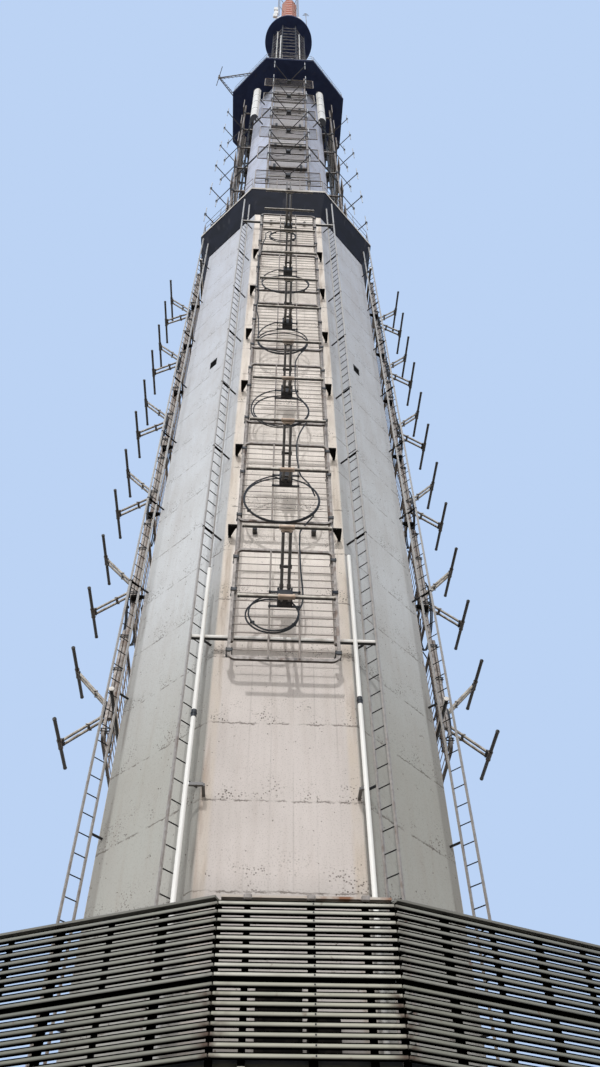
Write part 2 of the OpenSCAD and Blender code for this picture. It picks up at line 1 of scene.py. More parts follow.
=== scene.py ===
# %% [markdown]
# # A radio mast, scale model at 1:10
#
# The real mast is a concrete shaft of about 91 m. It stands on a low podium with a louvred
# screen, carries rows of dipole antennas up its faces, and ends in a steel lattice, a round
# collar and an orange column. Here one millimetre stands for one centimetre, so every size in
# a comment is a model size. The solids come packed from the part's source. This notebook adds
# the finishes and the small fittings that the solids leave out.

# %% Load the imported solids
import bpy, bmesh
from math import radians, sin, cos, pi
from mathutils import Matrix, Vector


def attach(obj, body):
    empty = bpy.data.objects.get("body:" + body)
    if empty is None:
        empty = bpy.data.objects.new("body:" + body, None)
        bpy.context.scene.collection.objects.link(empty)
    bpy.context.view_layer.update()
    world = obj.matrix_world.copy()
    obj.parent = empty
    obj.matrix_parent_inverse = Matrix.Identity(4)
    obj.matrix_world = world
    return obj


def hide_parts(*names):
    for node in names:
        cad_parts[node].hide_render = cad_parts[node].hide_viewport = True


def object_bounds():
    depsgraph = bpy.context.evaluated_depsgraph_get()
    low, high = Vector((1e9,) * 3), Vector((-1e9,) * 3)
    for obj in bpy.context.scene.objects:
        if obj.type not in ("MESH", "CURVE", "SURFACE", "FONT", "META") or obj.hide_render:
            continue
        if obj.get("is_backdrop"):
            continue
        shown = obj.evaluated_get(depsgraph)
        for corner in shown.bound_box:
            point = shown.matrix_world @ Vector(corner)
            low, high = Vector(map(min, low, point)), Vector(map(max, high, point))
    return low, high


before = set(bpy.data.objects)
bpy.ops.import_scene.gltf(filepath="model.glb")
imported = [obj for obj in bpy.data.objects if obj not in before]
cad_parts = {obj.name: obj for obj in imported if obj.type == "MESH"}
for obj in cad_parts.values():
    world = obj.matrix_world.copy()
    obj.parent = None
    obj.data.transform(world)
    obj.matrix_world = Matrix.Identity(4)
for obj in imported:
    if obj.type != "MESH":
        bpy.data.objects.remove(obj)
bpy.ops.object.select_all(action="DESELECT")
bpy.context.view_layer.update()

# %% Sizes that finishes and fittings share (mm)
EIGHTH = radians(45)
FIRST_BAY, BAY = 1082, 311.5        # middle of the lowest antenna bay, and from bay to bay
FIRST_UPPER, UPPER_BAY = 3305, 289  # the same on the upper stage
SLAT_FOOT, SLAT_STEP = 319, 5.15    # underside of the lowest slat, and from slat to slat
SCREEN, WIDE_SCREEN = 700, 667.38   # from the axis to the faces of the narrow and wide panels
print("six bays from", FIRST_BAY, "to", FIRST_BAY + 5 * BAY, "mm")

# %% [markdown]
# ## Camera and light
#
# The photograph was taken from the foot of the podium, at eye height, with the camera tilted
# up by almost 50 degrees. Its place and turn come from matching the corners of the screen, the
# antenna bays and the shaft's axis. The lens is given for the long side of the picture, which
# is upright here.

# %% Camera
eye = Vector((-0.0338, -1.1998, 0.1600))
pitch, yaw, roll = radians(49.70), radians(3.68), radians(-0.64)
forward = Vector((sin(yaw) * cos(pitch), cos(yaw) * cos(pitch), sin(pitch)))
level_right = Vector((cos(yaw), -sin(yaw), 0))
level_up = level_right.cross(forward)
right = cos(roll) * level_right + sin(roll) * level_up
up = -sin(roll) * level_right + cos(roll) * level_up
turn = Matrix((right, up, -forward)).transposed().to_4x4()

bpy.ops.object.camera_add()
camera = bpy.context.object
camera.matrix_world = Matrix.Translation(eye) @ turn
camera.data.sensor_fit = "VERTICAL"
camera.data.sensor_width = camera.data.sensor_height = 36
camera.data.lens = 28.27
camera.data.clip_start, camera.data.clip_end = 0.01, 200
bpy.context.scene.camera = camera
print("camera at", tuple(round(v, 3) for v in eye))

# %% [markdown]
# A hazy sun stands in front of the mast, 36 degrees high and a little to the left: the frames
# throw pale shadows down the front wall. Most of the light comes from a white sky, which is
# brighter on the left, so the mast's left side is the lighter one. The camera sees a plain pale
# blue behind the mast, and gloss sees the same, while the light stays neutral.

# %% Colours and nodes
def linear(code):
    """Turn an sRGB hex colour into the linear colour that shaders use."""
    parts = [int(code[i:i + 2], 16) / 255 for i in (0, 2, 4)]
    return [c / 12.92 if c < 0.04045 else ((c + 0.055) / 1.055) ** 2.4 for c in parts] + [1]


def add(tree, kind, inputs=(), **settings):
    """Add one node. Inputs are a dict by socket, or a list in the order of the sockets. Each is a
    value, a node for its first output, or a pair (node, output)."""
    node = tree.nodes.new("ShaderNode" + kind)
    for name, value in settings.items():
        setattr(node, name, value)
    for socket, value in inputs.items() if isinstance(inputs, dict) else enumerate(inputs):
        if isinstance(value, bpy.types.Node):
            value = (value, 0)
        if isinstance(value, tuple) and isinstance(value[0], bpy.types.Node):
            tree.links.new(value[0].outputs[value[1]], node.inputs[socket])
        else:
            node.inputs[socket].default_value = value
    return node


def watched(tree):
    """1 for rays by which the camera, gloss or glass sees, 0 for rays that carry light."""
    path = add(tree, "LightPath")
    seen = add(tree, "Math", [(path, "Is Camera Ray"), (path, "Is Glossy Ray")], operation="MAXIMUM")
    return add(tree, "Math", [seen, (path, "Is Transmission Ray")], operation="MAXIMUM")


print("grey 80 is", round(linear("808080")[0], 3), "in linear light")

# %% Sun, sky and floor
bpy.ops.object.light_add(type="SUN", location=(-1, -8, 7))
sun = bpy.context.object
sun.rotation_euler = Vector((-0.12, -0.79, 0.57)).to_track_quat("Z", "Y").to_euler()
sun.data.energy = 1.22
sun.data.angle = radians(0.8)

world = bpy.data.worlds.new("studio")
bpy.context.scene.world = world
world.use_nodes = True
sky = world.node_tree
sky.nodes.clear()
heading = add(sky, "TexCoord")
heading = add(sky, "SeparateXYZ", [(heading, "Generated")])
strength = add(sky, "MapRange", [heading, -1, 1, 1.75, 0.65])
fill = add(sky, "Background", {"Color": linear("ffffff"), "Strength": strength})
seen = add(sky, "Background", {"Color": linear("bcd3f4"), "Strength": 1.0})
mixed = add(sky, "MixShader", {0: watched(sky), 1: fill, 2: seen})
add(sky, "OutputWorld", {"Surface": mixed})
bpy.context.scene.view_settings.view_transform = "Standard"

bpy.ops.mesh.primitive_plane_add(size=150)
floor = bpy.context.object
floor.name = "studio_floor"
floor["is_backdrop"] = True
print("sun", sun.data.energy, "and sky from 0.65 on the right to 1.75 on the left")

# %% [markdown]
# ## Finishes
#
# Every finish is made of nodes that read Object coordinates, which are metres in the mast's own
# frame. So a pattern can be placed by real sizes, and by where on the mast a point lies. Painted
# images would do as well, but they need unwrapping and blur from near by. A finish is a base
# colour under layers: each layer has a mask, and covers what lies below it where its mask is 1.
# A MapRange makes most masks. Its list says what it reads, where its range begins and where it
# ends, and after that what it gives at both ends, where these aren't 0 and 1.

# %% Opening a finish
def start(name, roughness, metallic=0.0, gloss=0.5):
    """New material: itself, its node tree, its shader, and its coordinates."""
    material = bpy.data.materials.new(name)
    material.use_nodes = True
    tree = material.node_tree
    tree.nodes.clear()
    shader = add(tree, "BsdfPrincipled", {
        "Roughness": roughness, "Metallic": metallic, "Specular IOR Level": gloss})
    add(tree, "OutputMaterial", {"Surface": shader})
    return material, tree, shader, add(tree, "TexCoord")


def variant(material, name):
    """Copy a finish. Returns what start returns, and the colour that it has so far."""
    twin = material.copy()
    twin.name = name
    tree = twin.node_tree
    shader = next(n for n in tree.nodes if n.type == "BSDF_PRINCIPLED")
    place = next(n for n in tree.nodes if n.type == "TEX_COORD")
    return twin, tree, shader, place, (shader.inputs["Base Color"].links[0].from_node, 2)


print("finishes can be opened and varied")

# %% Colours in layers
def cover(tree, base, *layers):
    """Cover a base colour with layers, each a mask and a colour: a hex code or an output."""
    # a Mix node for colours takes them at sockets 6 and 7, and gives the mixed one at output 2
    tone = linear(base) if isinstance(base, str) else base
    for mask, colour in layers:
        colour = linear(colour) if isinstance(colour, str) else colour
        tone = (add(tree, "Mix", {0: mask, 6: tone, 7: colour}, data_type="RGBA"), 2)
    return tone


def paint(tree, shader, base, *layers):
    """Cover a base colour with layers and hand the result to the shader."""
    node, output = cover(tree, base, *layers)
    tree.links.new(node.outputs[output], shader.inputs["Base Color"])


print("layers are ready")

# %% Masks that many finishes share
def patches(tree, place, size, low, high, stretch=(1, 1, 1), detail=4, least=0.0, most=1.0):
    """Soft patches: noise with a feature size in metres, cut between two levels."""
    spot = add(tree, "Mapping", {"Vector": (place, "Object"), "Scale": stretch})
    noise = add(tree, "TexNoise", {"Vector": spot, "Scale": 1 / size, "Detail": detail})
    return add(tree, "MapRange", [noise, low, high, least, most])


def around(tree, place):
    """Where a point lies: x, y and z; x and y unsigned; the smaller, the larger; the diagonal."""
    axis = add(tree, "SeparateXYZ", [(place, "Object")])
    x_off, y_off = [add(tree, "Math", [(axis, i)], operation="ABSOLUTE") for i in (0, 1)]
    aside, out, slant = [add(tree, "Math", [x_off, y_off], operation=kind)
                         for kind in ("MINIMUM", "MAXIMUM", "ADD")]
    slant = add(tree, "Math", [slant, cos(EIGHTH)], operation="MULTIPLY")
    return axis, x_off, y_off, aside, out, slant


def tilt(tree, begin, full, most=1.0):
    """1 where the surface tilts past a limit, by the upward part of its normal."""
    normal = add(tree, "SeparateXYZ", [(add(tree, "NewGeometry"), "Normal")])
    return add(tree, "MapRange", [(normal, 2), begin, full, 0, most])


def comb(tree, value, first, spacing):
    """How far a value (m) is from the nearest of evenly spaced marks: 0 at one, 0.5 between."""
    step = add(tree, "Math", [value, first], operation="SUBTRACT")
    step = add(tree, "Math", [step, 1 / spacing], operation="MULTIPLY")
    return add(tree, "Math", [step, 0.5], operation="PINGPONG")


print("patches, places, tilts and combs are ready")

# %% [markdown]
# ### The shaft's concrete
#
# The shaft was poured in lifts of 1.2 m between boards, so every 120 mm a ragged joint runs
# round it, with air pores just above, and faint board seams stand 30 mm apart. The four main
# faces are a pinkish cream with brown weathering at their edges, and the diagonal faces are
# grey, with a dirty strip along each corner where the ladders hold the damp. A point is on a
# main face where its larger coordinate beats the slanted distance. The tone changes with height:
# the foot is darker, the wall behind the screen and a little above it is painted darker as the
# screen's shade, the wall behind the antennas is painted paler to make up for the shade of the
# frames, and the upper stage is a cooler grey. The pores and grit are drawn coarser than real
# ones, so that they show.

# %% Faces, joints between lifts, and pores
concrete, t, shader, place = start("board_marked_concrete", 0.92)
axis, x_off, y_off, aside, out, slant = around(t, place)
beyond = add(t, "Math", [out, slant], operation="SUBTRACT")
main = add(t, "MapRange", [beyond, -0.0015, 0.0015])

first_joint, lift_height = 0.6364, 0.1197
lift = add(t, "Math", [(axis, 2), first_joint], operation="SUBTRACT")
lift = add(t, "Math", [lift, 1 / lift_height], operation="MULTIPLY")
for wander in (patches(t, place, 0.05, 0.2, 0.8, most=0.025),
               patches(t, place, 0.0045, 0.3, 0.7, most=0.022)):
    lift = add(t, "Math", [wander, lift], operation="ADD")
joint = add(t, "Math", [lift, 0.5], operation="PINGPONG")
joint = add(t, "MapRange", [joint, 0.015, 0.004, 0, 0.70])
broken = patches(t, place, 0.018, 0.40, 0.56)
joint = add(t, "Math", [joint, broken], operation="MULTIPLY")

above = add(t, "Math", [lift], operation="FRACT")
above = add(t, "MapRange", [above, 0.50, 0.05])
porous = patches(t, place, 0.035, 0.47, 0.60)
porous = add(t, "Math", [porous, above], operation="MULTIPLY")
stray = patches(t, place, 0.010, 0.62, 0.68)
porous = add(t, "Math", [porous, stray], operation="MAXIMUM")
cells = add(t, "TexVoronoi", {"Vector": (place, "Object"), "Scale": 1 / 0.0036})  # one every 3.6 mm
pore = add(t, "MapRange", [(cells, "Distance"), 0.36, 0.20])
pore = add(t, "Math", [pore, porous], operation="MULTIPLY")
print("a joint every", round(lift_height * 1000, 1), "mm, and pores")

# %% Board seams, grain and the dark of every flaw
seam = add(t, "MapRange", [comb(t, aside, -0.015, 0.030), 0.05, 0.0, 0, 0.20])
seam_on = patches(t, place, 0.05, 0.42, 0.62, (1, 1, 0.3))
for mask in (seam_on, main):
    seam = add(t, "Math", [seam, mask], operation="MULTIPLY")
grain = patches(t, place, 0.006, 0.3, 0.7, (1, 1, 0.06))
dark = add(t, "Math", [joint, seam], operation="MAXIMUM")
dark = add(t, "Math", [dark, pore], operation="MAXIMUM")
cloud = patches(t, place, 0.06, 0.40, 0.75, (1, 1, 0.7), 6, most=0.26)
fine = add(t, "Math", [grain, 0.10], operation="MULTIPLY")
speck = patches(t, place, 0.0018, 0.56, 0.70, detail=1, most=0.26)
print("seams, grain and clouds are ready")

# %% Edges: a beige band and brown runs on a main face, a dirty strip on the diagonal beside
edge = add(t, "MapRange", [aside, 0.086, 0.091])
edge = add(t, "Math", [edge, main], operation="MULTIPLY")
haze = add(t, "MapRange", [(axis, 2), 1.4, 2.5])
lower_part = add(t, "MapRange", [haze, 0, 1, 1.0, 0.3])
beige = patches(t, place, 0.03, 0.30, 0.70, (1, 1, 0.4), least=0.12, most=0.42)
for mask in (edge, lower_part):
    beige = add(t, "Math", [beige, mask], operation="MULTIPLY")
streak = patches(t, place, 0.014, 0.52, 0.70, (1, 1, 0.10), 6)
stain = add(t, "Math", [edge, 0.40, 0.08], operation="MULTIPLY_ADD")
stain = add(t, "Math", [stain, streak], operation="MULTIPLY")

off_main = add(t, "Math", [1.0, main], operation="SUBTRACT")
strip_dirt = add(t, "Math", [streak, 0.35, 0.42], operation="MULTIPLY_ADD")
splash = add(t, "MapRange", [(axis, 2), 1.0, 1.5, 1.0, 0.25])
strip = add(t, "MapRange", [beyond, -0.0165, -0.0125])
for mask in (off_main, strip_dirt, splash):
    strip = add(t, "Math", [strip, mask], operation="MULTIPLY")
print("edges are ready")

# %% Tones of the concrete, from the foot through the antenna rows to the upper stage
# painted light: from 0.85 m up the wall is painted paler, to make up for the shade that the frames cast
# on it
lit_paler = add(t, "MapRange", [(axis, 2), 0.85, 1.25])
stage = add(t, "MapRange", [(axis, 2), 2.960, 2.964])
# painted shade: the wall behind the screen and a little above it is darker, as the screen shades it
shaded = add(t, "MapRange", [(axis, 2), 0.66, 0.60, 0, 0.5])
foot = add(t, "MapRange", [(axis, 2), 0.50, 0.46, 0, 0.75])
main_tone = cover(t, "d5ccc7", (lit_paler, "fff6ed"), (stage, "adabaf"))
grey = cover(t, "aeaea8", (lit_paler, "d0d3d6"), (haze, "c7ccd7"), (stage, "c4cce1"))
paint(t, shader, grey, (main, main_tone), (cloud, "a59d96"), (fine, "a79f97"), (speck, "7d756d"),
      (beige, "cdbca3"), (stain, "86684c"), (strip, "6f6963"), (shaded, "868481"),
      (foot, "4a4640"), (dark, "5d544c"))

depth = add(t, "Math", [dark, -1.0], operation="MULTIPLY")
depth = add(t, "Math", [grain, 0.15, depth], operation="MULTIPLY_ADD")
bump = add(t, "Bump", {"Strength": 0.5, "Distance": 0.0015, "Height": depth})
t.links.new(bump.outputs[0], shader.inputs["Normal"])
print(concrete.name, "has", len(t.nodes), "nodes")

# %% [markdown]
# ### Plainer surfaces
#
# The roof and floor slabs are bare concrete, mottled and gritty. The podium's wall is painted
# render gone olive and streaked with runs, and the band just below its top is painted dark as the
# shadow of the screen above it. Real grit would be too fine to show on a model of this scale, so
# it is drawn coarser, as on the shaft. The floor of the studio is a matt board: pale to the eye,
# but it throws little light back up, as the ground round a real mast does, so undersides stay
# dark.

# %% Slab concrete, render and studio floor
slab, t, shader, place = start("slab_concrete", 0.9)
mottle = patches(t, place, 0.04, 0.35, 0.7)
grit = patches(t, place, 0.004, 0.35, 0.75)
paint(t, shader, "a9a69f", (mottle, "8b8780"), (grit, "b7b3ab"))
bump = add(t, "Bump", {"Strength": 0.3, "Distance": 0.001, "Height": grit})
t.links.new(bump.outputs[0], shader.inputs["Normal"])

render, t, shader, place = start("painted_render", 0.85)
mottle = patches(t, place, 0.05, 0.35, 0.75, (1, 1, 0.6))
run = patches(t, place, 0.012, 0.55, 0.72, (1, 1, 0.08), most=0.6)
axis = add(t, "SeparateXYZ", [(place, "Object")])
# painted shadow: the band just below the wall's top is dark, where the screen above shades it
screen_shadow = add(t, "MapRange", [(axis, 2), 0.255, 0.296, 0, 0.8])
paint(t, shader, "9b9a80", (mottle, "77765e"), (run, "4c4638"), (screen_shadow, "1c1b14"))
grit = patches(t, place, 0.002, 0.3, 0.7)
bump = add(t, "Bump", {"Strength": 0.25, "Distance": 0.0006, "Height": grit})
t.links.new(bump.outputs[0], shader.inputs["Normal"])

board, t, shader, place = start("studio_board", 0.95)
paint(t, shader, "595856", (watched(t), "d8d7d3"))
floor.data.materials.append(board)
print("slab, render and floor are ready")

# %% [markdown]
# ### Painted steel
#
# The flared collar, the platform and the round collar are steel plate in a dark navy paint that
# has dulled, and faded more the higher it hangs. The rim of each deck is a light galvanised
# angle, told apart here by its height, and the decks are worn to a plain grey where people walk.
# Slats are folded sheet in a grey-green paint with a low gloss. The upper tier has bleached
# more and the lower corners rust. The wide panels, their cap rail too, are painted darker where
# they turn away from the sun, as painted shade. The lower part of each slat's face is painted
# darker as shade, and the folds at a slat's top, underside and back are painted near black as
# deep shade, with no gloss. Posts are black, and the cap rail is rusty. The screen is one solid
# a side, so these are told apart by how far a point lies behind the face.

# %% Navy deck paint
navy, t, shader, place = start("navy_paint", 0.8, gloss=0.25)
axis = add(t, "SeparateXYZ", [(place, "Object")])
wear = patches(t, place, 0.05, 0.4, 0.75)
faded = cover(t, "2f385a", (wear, "39466a"))
rim_tone = cover(t, "d6d2cd", (wear, "a39b92"))
aloft = add(t, "MapRange", [(axis, 2), 3.2, 6.0])
run = patches(t, place, 0.02, 0.60, 0.75, (1, 1, 0.15), most=0.4)
balcony_rim = add(t, "Math", [(axis, 2), 2.9692, 0.0068], operation="COMPARE")
platform_rim = add(t, "Math", [(axis, 2), 4.9640, 0.0020], operation="COMPARE")
rim = add(t, "Math", [balcony_rim, platform_rim], operation="MAXIMUM")
paint(t, shader, "14161f", (wear, "1c1f2d"), (aloft, faded), (run, "45434a"), (rim, rim_tone),
      (tilt(t, 0.4, 0.6), "77757a"))
print(navy.name, "has", len(t.nodes), "nodes")

# %% Where a point lies on the screen
slats, t, shader, place = start("slat_paint", 0.55)
axis, x_off, y_off, aside, out, slant = around(t, place)
narrow_in = add(t, "Math", [out, slant], operation="MAXIMUM")
narrow_in = add(t, "Math", [SCREEN / 1000, narrow_in], operation="SUBTRACT")
wide_in = []
for x_share, y_share in ((cos(EIGHTH / 2), sin(EIGHTH / 2)), (sin(EIGHTH / 2), cos(EIGHTH / 2))):
    reach = add(t, "Math", [y_off, y_share], operation="MULTIPLY")
    wide_in.append(add(t, "Math", [x_off, x_share, reach], operation="MULTIPLY_ADD"))
wide_in = add(t, "Math", [wide_in[0], wide_in[1]], operation="MAXIMUM")
wide_in = add(t, "Math", [WIDE_SCREEN / 1000, wide_in], operation="SUBTRACT")
behind = add(t, "Math", [narrow_in, wide_in], operation="MINIMUM")
wide_side = add(t, "Math", [wide_in, narrow_in], operation="LESS_THAN")
print("depth behind the slats' faces is ready")

# %% Wear, rust and corners of the slats
tier = add(t, "MapRange", [(axis, 2), 0.3585, 0.3605])
# painted shade: the wide panels are painted darker where they turn away from the sun
away = add(t, "MapRange", [x_off, 0.06, 0.28, 0.62, 0.95])
away = add(t, "Math", [away, wide_side], operation="MULTIPLY")
wear = patches(t, place, 0.03, 0.40, 0.70, (1, 1, 4), most=0.45)
rust = patches(t, place, 0.008, 0.68, 0.75, most=0.7)
corner = add(t, "Math", [narrow_in, wide_in], operation="MAXIMUM")
corner = add(t, "MapRange", [corner, 0.0045, 0.0010])
lower_tier = add(t, "MapRange", [tier, 0, 1, 0.9, 0.35])
stain = patches(t, place, 0.012, 0.40, 0.60)
for mask in (corner, lower_tier):
    stain = add(t, "Math", [stain, mask], operation="MULTIPLY")
print("wear and rust are ready")

# %% Shaded folds, posts and cap rail, and the slats' gloss
step = add(t, "Math", [(axis, 2), SLAT_FOOT / 1000], operation="SUBTRACT")
step = add(t, "Math", [step, 1000 / SLAT_STEP], operation="MULTIPLY")
step = add(t, "Math", [step], operation="FRACT")
# painted shade: the lower part of each slat's face darkens, and the top fold, the underside and the back
# are near black
shade = add(t, "MapRange", [step, 0.22, 0.03, 0, 0.92])
fold_shade = add(t, "MapRange", [step, 0.40, 0.43])
back = add(t, "MapRange", [behind, 0.0029, 0.0031])
for mask in (tilt(t, -0.4, -0.6), back):
    fold_shade = add(t, "Math", [fold_shade, mask], operation="MAXIMUM")
post = add(t, "MapRange", [behind, 0.0033, 0.0034])
cap = add(t, "MapRange", [(axis, 2), 0.4057, 0.4058])
blotch = patches(t, place, 0.016, 0.52, 0.68)
# painted shade: the cap rail is painted darker on the wide panels too
cap_tone = cover(t, "c2b8ae", (blotch, "8f6a55"), (wide_side, "7d7c76"))
paint(t, shader, "bcb9a9", (tier, "d0cdc1"), (away, "5e605b"), (wear, "8f8f80"), (rust, "6b4a35"),
      (stain, "4f3626"), (shade, "1d1b16"), (fold_shade, "030302"), (post, "050403"), (cap, cap_tone))
# no gloss where shade is painted
dull = add(t, "Math", [fold_shade, shade], operation="MAXIMUM")
gloss = add(t, "MapRange", [dull, 0, 1, 0.4, 0.0])
t.links.new(gloss.outputs[0], shader.inputs["Specular IOR Level"])
print(slats.name, "has", len(t.nodes), "nodes")

# %% [markdown]
# ### Bare metal of the antennas
#
# Galvanised steel goes brownish grey in the open: dull zinc with a spangle, which is drawn
# coarser than a real one so that it shows, and rust where clamps bite. A fully metallic surface
# would go dark in shade, so this one is rough and only partly metallic. Every underside is
# painted nearly black as shade, so a pipe seen from below has a pale upper half and a dark lower
# one. The reflectors' rungs are cleaner and their wall brackets black, the cable ladders bleach
# with height while their rungs and stubs stay dark, and both are copies of the same zinc with a
# layer or two more.

# %% Galvanised steel
zinc, t, shader, place = start("weathered_zinc", 0.58, 0.35)
spangle = patches(t, place, 0.006, 0.35, 0.65)
rust = patches(t, place, 0.014, 0.56, 0.68, (1, 1, 0.5), most=0.7)
# painted shade: every underside is near black
paint(t, shader, "a39a92", (spangle, "8a827b"), (rust, "6a4f3e"), (tilt(t, -0.5, -0.8, 0.85), "2a2320"))
zinc_rough = add(t, "MapRange", [spangle, 0, 1, 0.5, 0.66])
t.links.new(zinc_rough.outputs[0], shader.inputs["Roughness"])
print(zinc.name, "has", len(t.nodes), "nodes")

# %% The same zinc on the reflectors
reflector_zinc, t, shader, place, tone = variant(zinc, "reflector_zinc")
axis, x_off, y_off, aside, out, slant = around(t, place)
row = comb(t, (axis, 2), FIRST_BAY / 1000, BAY / 1000)
within = add(t, "MapRange", [row, 0.362, 0.360])
rung = add(t, "MapRange", [aside, 0.0757, 0.0755, 0, 0.55])
rung = add(t, "Math", [rung, within], operation="MULTIPLY")
bracket = add(t, "MapRange", [aside, 0.0866, 0.0870])
paint(t, shader, tone, (rung, "a3978c"), (bracket, "26262a"))
print(reflector_zinc.name, "has", len(t.nodes), "nodes")

# %% The same zinc on the cable ladders
ladder_zinc, t, shader, place, tone = variant(zinc, "ladder_zinc")
axis, x_off, y_off, aside, out, slant = around(t, place)
rung = add(t, "Math", [slant, 0.2810, 0.0093], operation="COMPARE")
stub = add(t, "MapRange", [slant, 0.2684, 0.2682])
rung = add(t, "Math", [rung, stub], operation="MAXIMUM")
bright = add(t, "MapRange", [(axis, 2), 0.5, 1.6, 0, 0.8])
paint(t, shader, tone, (bright, "d2cfca"), (rung, "161413"))
print(ladder_zinc.name, "has", len(t.nodes), "nodes")

# %% [markdown]
# ### Black steel, cable, lead and white plastics
#
# Painted steel of brackets and grips is a satin black. Fittings in the shade of the screen or the
# bays are dark steel in a dead matt near black, which is painted shade as well as their own
# colour. A cable's rubber is a softer black, and a lead sheath is a dull grey. Each is mottled, so
# that it doesn't look like a cut-out. Fibreglass pipes and radomes are an off-white that dirt
# streaks from the top down; the pipes are painted dark behind the screen, as its shade, and their
# clamps are grey. The long cross pipes have bleached almost white, with their undersides painted
# near black as shade.

# %% Black steel, soot, lead and rubber
mottled = {}
# the second row is dark steel in a dead matt near black, which is painted shade as well
for name, roughness, gloss, size, low, clean, worn in (
        ("black_steel", 0.5, 0.5, 0.010, 0.45, "232427", "3a3835"),
        ("sooty_steel", 0.9, 0.05, 0.010, 0.45, "0a0908", "1a1715"),
        ("lead_sheath", 0.6, 0.5, 0.012, 0.40, "75716e", "5a5754"),
        ("cable_rubber", 0.6, 0.5, 0.008, 0.40, "18191b", "2c2d30")):
    mottled[name], t, shader, place = start(name, roughness, gloss=gloss)
    paint(t, shader, clean, (patches(t, place, size, low, 0.7), worn))
black, shade_black, lead, rubber = mottled.values()
print("mottled:", *mottled)

# %% White fibreglass, its tall pipes and radomes, and bleached pipes
white, t, shader, place = start("white_fibreglass", 0.42)
dirt = patches(t, place, 0.03, 0.45, 0.75, (1, 1, 0.3), most=0.35)
paint(t, shader, "f3f1ec", (dirt, "bdb6a9"))

whip_white, t, shader, place, tone = variant(white, "pipe_fibreglass")
axis = add(t, "SeparateXYZ", [(place, "Object")])
left_pipe = add(t, "Math", [(axis, 0), -0.1210, 0.0034], operation="COMPARE")
right_pipe = add(t, "Math", [(axis, 0), 0.1065, 0.0034], operation="COMPARE")
pipe = add(t, "Math", [left_pipe, right_pipe], operation="MAXIMUM")
# painted shade: behind the screen the white pipes are painted dark
behind_screen_shade = add(t, "MapRange", [(axis, 2), 0.60, 0.56, 0, 0.8])
paint(t, shader, "5d5955", (pipe, cover(t, tone, (behind_screen_shade, "6f6b66"))))

bleached, t, shader, place = start("bleached_pipe_paint", 0.6)
wear = patches(t, place, 0.02, 0.45, 0.75)
# painted shade: the pipes' undersides are near black
paint(t, shader, "eae6e0", (wear, "b9b1a8"), (tilt(t, -0.62, -0.74), "100e0d"))

radome, t, shader, place, tone = variant(white, "radome_fibreglass")
paint(t, shader, tone, (tilt(t, -0.4, -0.6), "55565a"))
print("white and bleached finishes are ready")

# %% [markdown]
# ### Paints of the upper stage and the top
#
# An upper dipole has a dark hub and sockets, grey arms and pale rods, all in satin paint, told
# apart by their distance from the face's middle and by height. The lattice has pale rings and
# dark legs, with a dull dry paint. The column is orange-red, sun-faded and matt, with pale steel
# bands, which stand prouder than the shell, and a dark cap.

# %% Upper dipoles: dark hubs and sockets, grey arms, pale rods
pale, t, shader, place = start("upper_dipole_paint", 0.5)
axis, x_off, y_off, aside, out, slant = around(t, place)
wear = patches(t, place, 0.012, 0.35, 0.65)
at_rod = add(t, "MapRange", [aside, 0.0690, 0.0694])
row = comb(t, (axis, 2), FIRST_UPPER / 1000, UPPER_BAY / 1000)
socket = add(t, "MapRange", [row, 0.0182, 0.0176])
socket = add(t, "Math", [socket, at_rod], operation="MULTIPLY")
hub = add(t, "MapRange", [aside, 0.0094, 0.0092])
dark = add(t, "Math", [socket, hub], operation="MAXIMUM")
rod_tone = cover(t, "d5d6d6", (wear, "aeb0b3"))
paint(t, shader, "494441", (wear, "36312f"), (at_rod, rod_tone), (dark, "242427"))
print(pale.name, "has", len(t.nodes), "nodes")

# %% Lattice paint: pale rings, dark legs and diagonals
lattice, t, shader, place = start("lattice_paint", 0.75, gloss=0.2)
axis = add(t, "SeparateXYZ", [(place, "Object")])
level = comb(t, (axis, 2), 4.965, 0.10155)
ring = add(t, "MapRange", [level, 0.026, 0.023])
wear = patches(t, place, 0.02, 0.40, 0.70)
ring_tone = cover(t, "aaa6a8", (wear, "7d7878"))
paint(t, shader, "2a2c33", (wear, "44444a"), (ring, ring_tone))
print(lattice.name, "has", len(t.nodes), "nodes")

# %% Orange column paint
orange, t, shader, place = start("orange_paint", 0.85, gloss=0.15)
axis, x_off, y_off, aside, out, slant = around(t, place)
fade = patches(t, place, 0.05, 0.35, 0.7)
proud = add(t, "Math", [out, slant], operation="MAXIMUM")
band = add(t, "MapRange", [proud, 0.0576, 0.0580])
head = add(t, "MapRange", [(axis, 2), 8.700, 8.702])
paint(t, shader, "c15e44", (fade, "ac5c4a"), (band, "e2cfc6"), (head, "33343a"))
print(orange.name, "has", len(t.nodes), "nodes")

# %% [markdown]
# ### Booms and dipoles
#
# Booms and dipoles were painted cream once. Their upper sides still are, with rust coming through,
# and their undersides are painted black as shade. The finish tells the parts apart by their
# distance from the wall: boxes first, which are black, then booms, then dipoles with a tan sleeve
# in the middle.
# On the left and right sides of the mast the booms are paler and the dipoles are almost black,
# since that is how the light catches them in the photograph.

# %% Boom and dipole paint
cream, t, shader, place = start("weathered_cream", 0.6)
axis, x_off, y_off, aside, out, slant = around(t, place)
wear = patches(t, place, 0.010, 0.38, 0.66)
at_rod = add(t, "MapRange", [out, 0.3604, 0.3607])
lower_bays = add(t, "MapRange", [(axis, 2), 1.5, 1.9, 1.0, 0.15])
sleeve = add(t, "MapRange", [aside, 0.0124, 0.0121])
for mask in (at_rod, lower_bays):
    sleeve = add(t, "Math", [sleeve, mask], operation="MULTIPLY")
flank = add(t, "Math", [x_off, 0.2], operation="GREATER_THAN")
